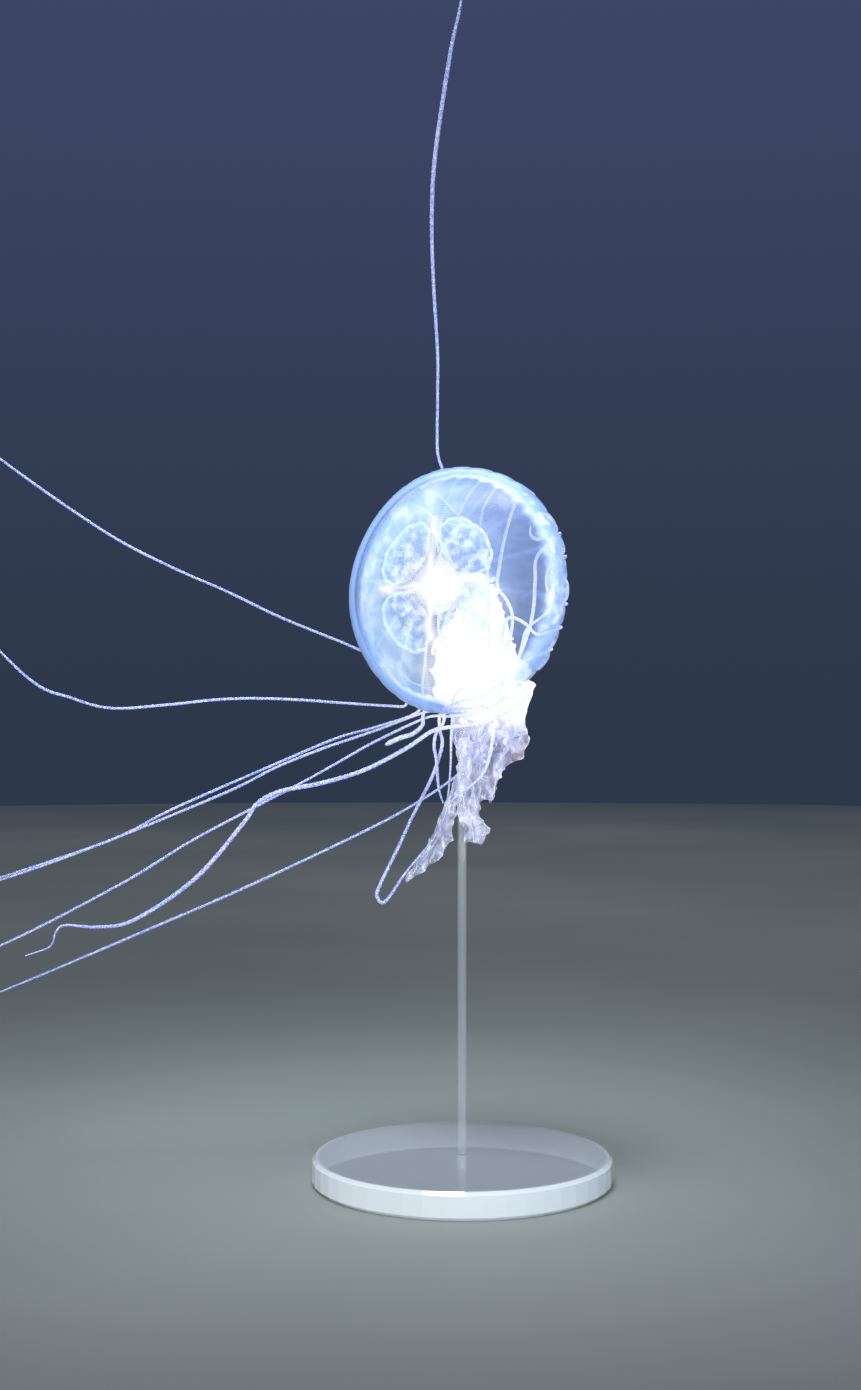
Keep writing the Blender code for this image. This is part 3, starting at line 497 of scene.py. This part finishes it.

# The oral arms. Four curtains that hang from the mouth's corners, each two crossed leaves ruffled down both
# edges like a ribbon gathered along its middle: dense and white by the mouth, where an emission paints a glow,
# and thinner and greyer below.
ARM_SPACING, ARM_SIDES, CROSS_SHARE = 0.85 * MM, 24, 0.62
ARM_START_RADIUS, ARM_LEAD = 5.2 * MM, 2.3 * MM
LEAF_WAYS, LEAF_PHASE = ((1.0, 0.0, 0.2), (0.2, 1.0, 0.2)), 2.3
LEAF_THICKNESS, RIB_THICKNESS, RAGGED_TIP, TIP_ROUNDING = 0.5, 0.7, 0.8 * MM, 0.55
RUFFLE, SECOND_RUFFLE, FINE_RUFFLE, SLOW_BEND, SECOND_BEND = 1.55, 0.95, 0.52, 5.2, 3.1
ORAL_ARMS = {
    "right": {
        "bearing": 78.75, "ruffle": 2.2, "phase": 0.4,
        "left_reach": (2, 4, 6, 8, 9, 10.5, 10.5, 9.5, 8.5, 8, 6, 6, 4),
        "right_reach": (2, 3, 3.5, 4, 5, 8, 8.5, 3.5, 5.5, 7.5, 2.5, 1.2, 1),
        "route": [(20.5, 8.5, -21), (25, 6, -41), (27, 3, -53), (24.5, 0.5, -66), (19.5, -1, -76),
                  (16.5, -1.5, -85), (15, -1, -92)],
    },
    "front": {
        "bearing": 168.75, "ruffle": 2.0, "phase": 1.9,
        "left_reach": (2, 4.5, 7, 9, 10, 10, 9, 8, 6.5, 5, 4.5, 4, 7),
        "right_reach": (2, 4.5, 7, 8, 8, 8.5, 9, 9, 6.5, 4.5, 4, 5, 6.5),
        "route": [(12.5, 15, -26), (13, 12, -48), (12.5, 8, -59), (8.5, 4, -68), (6.5, 3, -78),
                  (4.5, 2.5, -93), (7, 3, -103), (11.5, 4, -110)],
    },
    "left": {
        "bearing": -101.25, "ruffle": 2.0, "phase": 3.1,
        "left_reach": (2, 4.5, 8, 9, 7.5, 2.5, 3.5, 0.8, 0.8, 2, 2.6, 2.2, 0.8),
        "right_reach": (2, 4, 6, 8, 9, 6, 5, 4.5, 4.5, 4.5, 6, 4.5, 1.2),
        "route": [(4.5, 22.5, -9), (1.5, 21.5, -21), (-2.5, 18.5, -43), (1, 18, -57), (2.5, 18, -70),
                  (1, 18, -82), (-3.5, 17.5, -95), (-9, 17, -111), (-22, 16, -128)],
    },
    "rear": {
        "bearing": -11.25, "ruffle": 2.1, "phase": 4.4,
        "left_reach": (2, 3.5, 5, 6, 7, 7, 6, 6, 6, 4.5, 3, 3, 2),
        "right_reach": (2, 3.5, 5, 6, 7, 7, 6.5, 6, 5, 1.5, 1.5, 0.8, 1.6),
        "route": [(14.5, 27, -3), (17, 31, -13), (16, 31, -30), (14, 29, -52), (13, 27, -75), (10, 26, -93),
                  (11, 25, -109)],
    },
}


def smooth_values(values, share):
    """The even list of values read at a share of its length, along a smooth curve kept above a half."""
    curve = smooth_route(np.array(values, float)[:, None])[:, 0]
    return np.clip(np.interp(share, np.linspace(0.0, 1.0, len(curve)), curve), 0.5, None)


def ruffled_ribbon(distances, total, left_reach, right_reach, ruffle, phase):
    """Offsets across, beside and along a ribbon's route, for a flat closed profile of the ribbon's edge.

    The place across is the cosine of the profile's angle. Each edge is thrown beside and along the route by
    sines of the distance that grow with the place across. At the tip the edges fall back and turn ragged.
    """
    turns = np.arange(ARM_SIDES) * 2.0 * np.pi / ARM_SIDES
    across = np.cos(turns)[None]
    wide = np.abs(across)
    run = distances[:, None] / MM
    share = distances[:, None] / total
    grown = np.clip(share / 0.10, 0.0, 1.0)
    side = np.sign(across)
    first_turn = run / RUFFLE + phase + 1.3 * side
    wave = np.sin(first_turn) + 0.5 * np.sin(run / SECOND_RUFFLE + 2.0 * phase + 2.1 * side)
    fine = np.sin(run / FINE_RUFFLE + 3.0 * phase + side)
    slow = np.sin(run / SLOW_BEND + phase) + 0.6 * np.sin(run / SECOND_BEND + 1.7 * phase + side)
    widths = np.where(across > 0, right_reach[:, None], left_reach[:, None])
    reach = widths * (1.0 + grown * (0.11 * wide**2 * wave + 0.025 * wide**4 * fine))
    thick = (LEAF_THICKNESS + RIB_THICKNESS * (1.0 - wide**2) * (1.0 - 0.7 * share)) * MM
    loose = np.clip(widths / (5.0 * MM), 0.45, 1.4)
    lift = grown * MM * loose * (ruffle * wide**2 * wave + 0.5 * wide**4 * fine + 1.8 * wide * slow)
    slip = grown * MM * loose * ruffle * wide**2 * 0.28 * np.cos(first_turn)
    ragged = RAGGED_TIP * share**12 * (np.sin(6.0 * across + phase) + 0.6 * np.sin(11.0 * across))
    rounded = TIP_ROUNDING * widths * wide**2 * share**10
    return across * reach, lift + np.sin(turns)[None] * thick / 2.0, slip + ragged - rounded


leaf_trim = np.abs(np.cos(np.arange(ARM_SIDES) * 2.0 * np.pi / ARM_SIDES))
for number, arm in enumerate(ORAL_ARMS.values()):
    start = bell_place(np.radians(arm["bearing"]), ARM_START_RADIUS, MOUTH_DEPTH - 1.0 * MM)
    route = np.array(arm["route"]) * MM + BELL_CENTRE
    curve = smooth_route([start, start + AXIS * ARM_LEAD, *route])
    total = along(curve)[-1]
    distances = np.linspace(0.0, total, int(round(total / ARM_SPACING)) + 1)
    points, travel = sample(curve, distances)
    left_reach, right_reach = (smooth_values(arm[side], distances / total) * MM
                               for side in ("left_reach", "right_reach"))
    cross_reach = CROSS_SHARE * (left_reach + right_reach) / 2.0
    reaches = ((left_reach, right_reach), (cross_reach, cross_reach))
    for leaf, (flat_way, (first_reach, second_reach)) in enumerate(zip(LEAF_WAYS, reaches)):
        across, beside = cross_frames(travel, flat_way)
        sideways, lifted, slipped = ruffled_ribbon(
            distances, total, first_reach, second_reach, arm["ruffle"], arm["phase"] + LEAF_PHASE * leaf)
        grid = (points[:, None] + sideways[..., None] * across[:, None] + lifted[..., None] * beside[:, None]
                + slipped[..., None] * travel[:, None])
        poles = np.stack([grid[0].mean(0), grid[-1].mean(0)])
        strip_bottom = 0.26 + 0.033 * number + 0.0165 * leaf
        unwrap = strip_unwrap(len(distances), ARM_SIDES, 0.01, strip_bottom, 0.98, 0.0145)
        trim = np.concatenate([np.tile(leaf_trim, len(distances)), [1.0, 1.0]])
        add_surface(grid, poles, unwrap, ORAL_FINISH, trim=trim)

ORAL_WHITE, ORAL_LAVENDER = colour(0.98, 0.97, 1.0), colour(0.62, 0.67, 0.95)
ORAL_ROSE, ORAL_EDGE = colour(1.0, 0.80, 0.84), colour(0.99, 0.98, 1.0)
NO_PAINTED_GLOW, ORAL_PAINTED_GLOW = colour(0.0, 0.0, 0.0), colour(0.34, 0.34, 0.37)
THIN_START, THIN_FULL = 46.0, 66.0
oral, oral_place, fill_oral = new_material(
    "oral_tissue_frilled", 0.35, coat=0.15, sheen=0.35, subsurface=0.35, emission=1.0)
trim = oral_place.node("ShaderNodeAttribute", {"attribute_name": "trim"}, {}, 2)
drop = oral_place.dot((0.0, 0.0, -1.0 / MM)) + BELL_CENTRE[2] / MM
thin = drop.step(THIN_START, THIN_FULL)
cloud = oral_place.noise(170.0, 4.0).step(0.38, 0.64)
veins = oral_place.noise(420.0, 3.0, (1.0, 1.0, 0.35)).step(0.52, 0.64)
edging = trim.step(0.90, 0.99)
blush = oral_place.noise(60.0, 2.0).step(0.5, 0.72)
solid = oral_place.dot(AXIS / MM) - float(BELL_CENTRE @ AXIS) / MM
oral_tint = (blush * 0.5).mixed(thin.mixed(ORAL_WHITE, ORAL_LAVENDER), ORAL_ROSE)
oral_tint = (veins * 0.5 + edging * 0.6).clamped().mixed(oral_tint, ORAL_EDGE)
dense = 1.0 - thin * (0.85 - cloud * 0.16 - veins * 0.20 - edging * 0.50)
# The emission is a painted glow: the dense tissue by the mouth shines as if strongly lit, though it is no
# lamp.
fill_oral(Base_Color=oral_tint, Alpha=(dense * (0.10 + solid.step(-18.0, -6.0) * 0.88)).clamped(),
          Emission_Color=((1.0 - thin) * solid.step(-8.0, 14.0)).mixed(NO_PAINTED_GLOW, ORAL_PAINTED_GLOW))

# The tentacles. Twenty-four round threads, each out of its own notch between two lappets and tapered to the
# tip. Rows of stinging cells ring them, so they look finely beaded: pale, with lavender between the beads.
TENTACLE_SIDES, TENTACLE_SPACING = 8, 0.75 * MM
TENTACLE_RADIUS, TENTACLE_TIP_RADIUS, TENTACLE_TAPER = 0.60 * MM, 0.28 * MM, 0.22
ROOT_RADIUS, ROOT_DEPTH = 52.0 * MM, 4.0 * MM
NOTCH_EXIT = ((52.0, 5.4), (54.3, 5.9), (58.0, 6.3))
LEAD_BEHIND, ROOT_LEAD = 3.0 * MM, 0.5 * MM
BEAD_WAVE, BEAD_SWELL, SLOW_WAVE, SLOW_SWELL = 0.42 * MM, 0.07, 9.0 * MM, 0.04
LAST_RING_SHARE = 0.55
TENTACLES = {
    "up": {"notch": -2, "through": True, "girth": (1.0, 1.2, 1.6, 1.5),
           "route": [(-8, 17, 63), (-8, 12, 85), (-8, 6, 104), (-10, -6, 136), (-10.5, -16, 160),
                     (-9, -26, 183), (-3, -42, 219), (1, -50, 236), (4, -58, 256)]},
    "left_high": {"notch": -11, "through": True, "girth": (1.0, 1.0, 1.0),
                  "route": [(-52, 33.5, -21.5), (-79, 34, -10.5), (-104, 34, 1.5), (-129, 32, 12.5),
                            (-158, 28, 28), (-202, 18, 59), (-227, 12, 81)]},
    "left_mid": {"notch": -14, "through": True, "girth": (1.0, 1.05, 1.0),
                 "route": [(-30, 18.5, -50.5), (-46.5, 18, -49.5), (-77, 18, -47.5), (-102, 16, -47.5),
                           (-127, 12, -50), (-151, 8, -51.5), (-168, 4, -47), (-186, 0, -38.5),
                           (-217, -10, -5)]},
    "hook": {"notch": -15, "through": True, "girth": (1.1, 1.7, 1.7), "taper": 0.05,
             "route": [(-14.5, 10, -58.5), (-16.5, 8, -61), (-19.5, 5.5, -63), (-24.5, 3.5, -64.5),
                       (-31, 2.5, -67.5)]},
    "hang_left": {"notch": 16, "through": True, "girth": (1.25, 1.2, 1.05),
                  "route": [(-8.5, 7, -62), (-9.5, 9, -68), (-8.5, 11, -74.5), (-7.5, 11.5, -86.5),
                            (-5.5, 10.5, -93.5)]},
    "low_2": {"notch": 14, "girth": (1.0, 1.0, 1.0),
              "route": [(2.5, 4.5, -51.5), (-4, 9, -52.3), (-14, 18, -53.5), (-35.5, 19, -61.5),
                        (-59, 17, -69.5), (-80, 15, -78), (-102, 13, -89), (-157, 8, -111.5),
                        (-199, 4, -126.5), (-233, 0, -135)]},
    "low_3": {"notch": 13, "girth": (1.0, 1.0, 1.0),
              "route": [(10.5, 1, -53), (2.5, 5, -54.4), (-4, 8.6, -55.2), (-13, 14.5, -55.8),
                        (-35, 15, -66), (-52, 12, -75.5), (-70, 9, -85.5), (-113, 3, -108),
                        (-146, 0, -128), (-198, -3, -154.5), (-240, -6, -169)]},
    "low_4": {"notch": 12, "through": True, "girth": (1.2, 1.65, 1.6, 1.5),
              "route": [(21, -12.5, -53.5), (13, -7, -57.3), (3, -1.5, -59), (-5, 1, -60), (-11, 3, -61.8),
                        (-22.5, 6, -69.5), (-40, 5, -78.5), (-58, 3, -84), (-76, 0, -87.5), (-86, -3, -92.5),
                        (-91.5, -6, -100.5), (-111.5, -14, -124), (-136.5, -20, -141), (-152, -22, -144),
                        (-165.5, -24, -143), (-169.5, -24, -146), (-172, -24, -152), (-182.5, -24, -156)]},
    "low_1": {"notch": 0, "girth": (1.0, 1.0, 1.0),
              "route": [(4.5, 8, 40), (-1.5, 11, 27), (-8, 14, 12), (-11.5, 20, -12.5), (-14.5, 25, -39),
                        (-16, 25.5, -52.5), (-35.5, 26, -60), (-53, 26, -65), (-78, 26, -75.5),
                        (-126, 26, -96.5), (-154, 26, -110.5), (-204, 24, -127.5), (-243, 22, -139.5)]},
    "hang_mid": {"notch": 1, "girth": (1.1, 1.15, 1.05),
                 "route": [(12.5, 4, 37), (10.5, 5, 24), (12.5, 3, 15), (14, 1, 4.5), (14, 0, -13),
                           (14.5, 1, -24), (9, 3, -36), (3.5, 5.5, -42), (-0.5, 10, -46.5),
                           (-1.5, 12, -51.5), (-1.5, 11.5, -57), (-2, 8.5, -64), (-2.2, 8, -75.5),
                           (-3, 10, -86.5), (-4, 12, -93.5)]},
    "hang_right": {"notch": 2, "girth": (1.1, 1.2, 1.15),
                   "route": [(24, -2, 33), (21, 0, 22), (19, 0, 11), (18, -1, 1.5), (22, -1, -4.5),
                             (24.5, -2, -12), (23, -3, -24), (20.5, -4, -39), (16.5, -4, -55.5),
                             (15.5, -4.5, -67), (12.5, -4.5, -78), (7.5, -5.5, -84), (0.5, -6, -89),
                             (-3.5, -5, -93.5)]},
    "looped": {"notch": 5, "girth": (1.2, 1.25, 1.3, 1.25),
               "route": [(34.5, -18, 13.5), (33.5, -18, 3.5), (33, -17, -7), (31, -14, -18),
                         (26, -10.5, -31), (19, -9, -40), (12, -3, -45.5), (5, 2.5, -47.5), (0, 8, -49.3),
                         (-4.5, 12.5, -52), (-7, 14, -55), (-7, 13, -61), (-6, 12.5, -68),
                         (-10, 14.5, -81), (-15.5, 16, -92.5), (-20, 16, -101.5), (-25.5, 16, -113.5),
                         (-34, 15, -131), (-34.5, 14.5, -135.5), (-31, 14, -137), (-22, 11, -124),
                         (-13, 10, -113), (-8, 10, -106), (-5, 8, -97)]},
    "curled": {"notch": 4, "girth": (1.0, 1.3, 1.0),
               "route": [(38, -17, 27), (38, -15, 23), (35, -13, 21), (32, -10, 23), (32, -8, 27)]},
    "right_high": {"notch": 6, "girth": (1.0, 1.0, 0.9),
                   "route": [(41, -22, 10), (38.5, -22, 7), (38, -21.5, 2), (38.5, -22, -2),
                             (38, -21, -5)]},
    "low_5": {"notch": 8, "girth": (1.0, 1.0, 1.0),
              "route": [(41, -19, -8.5), (37, -9, -12), (31, 4, -17), (29, 18, -25.5), (24.5, 33, -43.5),
                        (14.5, 39, -66), (3, 39, -80.5), (-17, 38, -94.5), (-43, 36, -108.5),
                        (-92, 34, -131.5), (-130, 33, -148), (-205, 31, -179.5), (-236, 30, -189.5)]},
    "right_mid": {"notch": 9, "girth": (1.0, 1.3, 1.1),
                  "route": [(34.5, -21, -20), (29.5, -18, -15.5), (24, -14, -12.5), (21, -11, -14.5),
                            (20, -9, -20.5), (19.5, -9, -28)]},
    "right_low": {"notch": 10, "girth": (1.0, 1.0, 1.0),
                  "route": [(29.5, -19.5, -31), (25.5, -18, -32.5), (23.5, -17, -28), (20.5, -16.5, -23.5),
                            (17.5, -16.5, -20)]},
}
TRAILING_NOTCHES = (-12, -10, -8, -7, -6, -4, -3)
TRAIL_LENGTH, TRAIL_SAG, TRAIL_WAVE, TRAIL_DRIFT = 46.0 * MM, 9.0 * MM, 2.6 * MM, 0.4


def root_of(notch):
    """Where the tentacle of a notch is rooted under the rim."""
    return bell_place(np.array(notch * 2.0 * np.pi / LAPPETS), ROOT_RADIUS, ROOT_DEPTH)


def trailing_route(notch):
    """Out behind the bell, drifting left, sagging with the distance's square and waving gently."""
    share = np.array([0.15, 0.3, 0.5, 0.7, 0.85, 1.0])[:, None]
    length = TRAIL_LENGTH * (1.0 + 0.12 * math.sin(2.3 * notch))
    inward = bell_place(np.array(notch * 2.0 * np.pi / LAPPETS), 1.0, 0.0) - BELL_CENTRE
    start = root_of(notch) + ROOT_LEAD * AXIS
    waved = start + AXIS * length * share - inward * TRAIL_WAVE * share * np.sin(7.0 * share + notch)
    drift, sag = np.array([-TRAIL_DRIFT, 0.0, 0.0]) * share, np.array([0.0, 0.0, -1.0]) * share**2
    return waved + TRAIL_SAG * (drift + sag)


def full_curve(design):
    """The smooth curve of one tentacle: its root, its way out past the lappets, then its route."""
    angle = np.array(design["notch"] * 2.0 * np.pi / LAPPETS)
    root = root_of(design["notch"])
    if design.get("through"):
        way_out = [bell_place(angle, radius * MM, depth * MM) for radius, depth in NOTCH_EXIT]
    else:
        way_out = [root + AXIS * (LEAD_BEHIND + ROOT_LEAD)]
    return smooth_route([root, *way_out, *design["route"]])


designs = [dict(design, route=np.array(design["route"]) * MM + BELL_CENTRE) for design in TENTACLES.values()]
designs += [{"notch": notch, "girth": (1.0, 0.9), "route": trailing_route(notch)}
            for notch in TRAILING_NOTCHES]
for number, design in enumerate(designs):
    curve = full_curve(design)
    total = along(curve)[-1]
    distances = np.linspace(0.0, total, int(round(total / TENTACLE_SPACING)) + 1)
    points, travel = sample(curve, distances)
    share = distances / total
    full = TENTACLE_RADIUS * np.interp(share, np.linspace(0.0, 1.0, len(design["girth"])), design["girth"])
    taper = np.clip((1.0 - share) / design.get("taper", TENTACLE_TAPER), 0.0, 1.0)
    beads = BEAD_SWELL * np.sin(distances / BEAD_WAVE) + SLOW_SWELL * np.sin(distances / SLOW_WAVE + number)
    radii = (TENTACLE_TIP_RADIUS + (full - TENTACLE_TIP_RADIUS) * taper) * (1.0 + beads)
    radii[-1] *= LAST_RING_SHARE
    tube = round_tube(points, travel, radii, TENTACLE_SIDES)
    unwrap = strip_unwrap(len(distances), TENTACLE_SIDES, 0.01, 0.005 + 0.0103 * number, 0.98, 0.0085)
    add_surface(tube, points[[0, -1]], unwrap, TENTACLE_FINISH)

BEAD_GAP, BEAD_PALE = colour(0.19, 0.25, 0.68), colour(0.44, 0.50, 0.74)
# Painted glow: an emission brightens the tentacles near the white arms as if the arms lit them, fading with
# the distance from there.
PATCH_ROSE, TENTACLE_PAINTED_GLOW = colour(0.55, 0.50, 0.62), colour(0.50, 0.50, 0.54)
PAINTED_GLOW_START, PAINTED_GLOW_END, PAINTED_GLOW_PLACE = 14.0 * MM, 80.0 * MM, BELL_CENTRE + np.array([19.0, 2.0, -34.0]) * MM
tentacle, tentacle_place, fill_tentacle = new_material(
    "tentacle_beaded", 0.4, sheen=0.25, subsurface=0.3, emission=1.0)
beading = tentacle_place.noise(1500.0, 1.0).step(0.40, 0.60)
patches = tentacle_place.noise(70.0, 2.0).step(0.35, 0.7)
tentacle_tint = (patches * 0.25).mixed(beading.mixed(BEAD_GAP, BEAD_PALE), PATCH_ROSE)
bumps = beading.node("ShaderNodeBump", {}, {"Strength": 0.6, "Distance": 0.15 * MM, "Height": beading})
from_painted_glow = tentacle_place.node("ShaderNodeVectorMath", {"operation": "DISTANCE"},
                                {0: tentacle_place, 1: tuple(PAINTED_GLOW_PLACE)}, 1)
painted_glow = 1.0 - from_painted_glow.step(PAINTED_GLOW_START, PAINTED_GLOW_END)
fill_tentacle(Base_Color=tentacle_tint, Alpha=(0.80 + beading * 0.18).clamped(), Normal=bumps,
              Emission_Color=painted_glow.mixed(NO_PAINTED_GLOW, TENTACLE_PAINTED_GLOW))

# The skin. All the flesh above is one piece: the surfaces run into one another with no seam between the
# lengths of a tentacle or an arm, and it stands for every solid of the animal.
points_before = np.concatenate([[0], np.cumsum([len(part["points"]) for part in skin_parts])])
faces, finishes, bake_map = [], [], []
for part, before in zip(skin_parts, points_before):
    faces += (part["quads"] + before).tolist() + (part["fans"] + before).tolist()
    finishes.append(part["finish"])
    bake_map.append(part["map"])
skin_mesh = bpy.data.meshes.new("nettle_skin")
skin_mesh.from_pydata(np.vstack([part["points"] for part in skin_parts]).tolist(), [], faces)
for finish in (gel, lining, gonad, fold, oral, tentacle):
    skin_mesh.materials.append(finish)
skin_mesh.polygons.foreach_set("material_index", np.concatenate(finishes).astype(np.int32))
skin_mesh.shade_smooth()
trims = np.concatenate([part["trim"] for part in skin_parts])
skin_mesh.attributes.new("trim", "FLOAT", "POINT").data.foreach_set("value", trims.astype(np.float32))
skin_mesh.uv_layers.new(name="OFBake").data.foreach_set("uv", np.vstack(bake_map).ravel().astype(np.float32))
skin = bpy.data.objects.new("nettle_skin", skin_mesh)
bpy.context.scene.collection.objects.link(skin)
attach(skin, "root")
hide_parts(*(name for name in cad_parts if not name.startswith("stand_")))

# The stand. A turned disc of frosted acrylic with a polished edge, and a clear drawn rod that stands in it.
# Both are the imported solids. The edges are brighter, as light gathers there in clear plastic.
ACRYLIC_GREY, ACRYLIC_EDGE = colour(0.62, 0.70, 0.74), colour(0.80, 0.88, 0.92)
EDGE_START, EDGE_FULL, EDGE_HAZE = 0.94, 0.995, 0.16
BASE_RADIUS, ROD_RADIUS, BASE_CLOUDINESS, ROD_CLOUDINESS = 66.0, 4.0, 0.62, 0.08
for node_name, edge_radius, cloudiness in (("stand_base", BASE_RADIUS, BASE_CLOUDINESS),
                                           ("stand_rod", ROD_RADIUS, ROD_CLOUDINESS)):
    acrylic, acrylic_place, fill_acrylic = new_material(node_name + "_acrylic", 0.06, coat=0.6)
    flat_x, flat_y = acrylic_place.dot((1.0 / MM, 0.0, 0.0)), acrylic_place.dot((0.0, 1.0 / MM, 0.0))
    out = (flat_x * flat_x + flat_y * flat_y).maths("SQRT")
    edge = out.step(edge_radius * EDGE_START, edge_radius * EDGE_FULL)
    haze = acrylic_place.noise(14.0, 2.0) * 0.05
    fill_acrylic(Base_Color=edge.mixed(ACRYLIC_GREY, ACRYLIC_EDGE),
                 Alpha=(cloudiness + haze + edge * EDGE_HAZE).clamped())
    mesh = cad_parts[node_name].data
    mesh.materials.clear()
    mesh.materials.append(acrylic)

# The floor, the background and the lights of a dim gallery: soft panels close to the model, a pale matt floor
# that falls into half light away from them, and a plain dark blue surround.
FLOOR_RADIUS, FLOOR_SIDES = 3.0, 256
FLOOR_DARK, FLOOR_LIGHT = colour(0.23, 0.275, 0.26), colour(0.31, 0.345, 0.33)
SURROUND_LOW, SURROUND_HIGH = colour(0.026, 0.040, 0.068), colour(0.050, 0.064, 0.140)
bpy.ops.mesh.primitive_circle_add(vertices=FLOOR_SIDES, radius=FLOOR_RADIUS, fill_type="NGON")
floor = bpy.context.object
floor.name = "floor"
floor_material, floor_place, fill_floor = new_material("floor_pale", 0.9)
cloud = floor_place.noise(1.3, 3.0).step(0.35, 0.7)
fill_floor(Base_Color=cloud.mixed(FLOOR_DARK, FLOOR_LIGHT))
floor.data.materials.append(floor_material)

world = bpy.data.worlds.new("dim_gallery")
world.use_nodes = True
world_way = Wire(world.node_tree, world.node_tree.nodes.new("ShaderNodeTexCoord").outputs["Generated"])
upward = world_way.dot((0.0, 0.0, 1.0)).step(-0.05, 0.45)
surround = upward.mixed(SURROUND_LOW, SURROUND_HIGH)
world.node_tree.links.new(surround.socket, world.node_tree.nodes["Background"].inputs["Color"])
bpy.context.scene.world = world


def soft_panel(name, place, target, size, power, tint, spread):
    """A square panel lamp at a place, facing a target, with a grid that narrows its beam to the spread."""
    lamp = bpy.data.lights.new(name, "AREA")
    lamp.shape, lamp.size, lamp.energy, lamp.color = "SQUARE", size, power, tint
    lamp.spread = math.radians(spread)
    holder = bpy.data.objects.new(name, lamp)
    bpy.context.scene.collection.objects.link(holder)
    holder.location = place
    holder.visible_camera = False
    way = np.array(place) - np.array(target)
    flat = math.hypot(way[0], way[1])
    holder.rotation_euler = (math.atan2(flat, way[2]), 0.0, math.atan2(way[1], way[0]) + math.pi / 2.0)


soft_panel("front_panel", (-0.50, -1.00, 0.27), (-0.06, 0.0, 0.27), 0.46, 1.45, (1.0, 0.99, 0.98), 45.0)
soft_panel("side_panel", (0.90, -0.50, 0.25), (-0.04, 0.0, 0.27), 0.40, 0.9, (0.90, 0.94, 1.0), 45.0)
soft_panel("top_panel", (-0.10, -0.25, 1.05), (-0.04, 0.0, 0.27), 0.30, 0.5, (0.94, 0.96, 1.0), 40.0)
soft_panel("ceiling_panel", (0.0, 1.2, 2.3), (0.0, 0.9, 0.0), 2.0, 19.5, (1.0, 1.0, 0.94), 180.0)

# The camera. A level lens at the height of the arms, far enough back for the whole animal and its stand.
CAMERA_PLACE = (-0.0139, -0.8505, 0.2143)
LENS_LENGTH, SENSOR_WIDTH = 50.0, 36.0
camera_data = bpy.data.cameras.new("camera")
camera_data.lens, camera_data.sensor_width = LENS_LENGTH, SENSOR_WIDTH
camera = bpy.data.objects.new("camera", camera_data)
bpy.context.scene.collection.objects.link(camera)
camera.location = CAMERA_PLACE
camera.rotation_euler = (math.pi / 2.0, 0.0, 0.0)
bpy.context.scene.camera = camera
bpy.context.scene.cycles.transparent_max_bounces = 32
bpy.context.scene.view_settings.view_transform = "Standard"
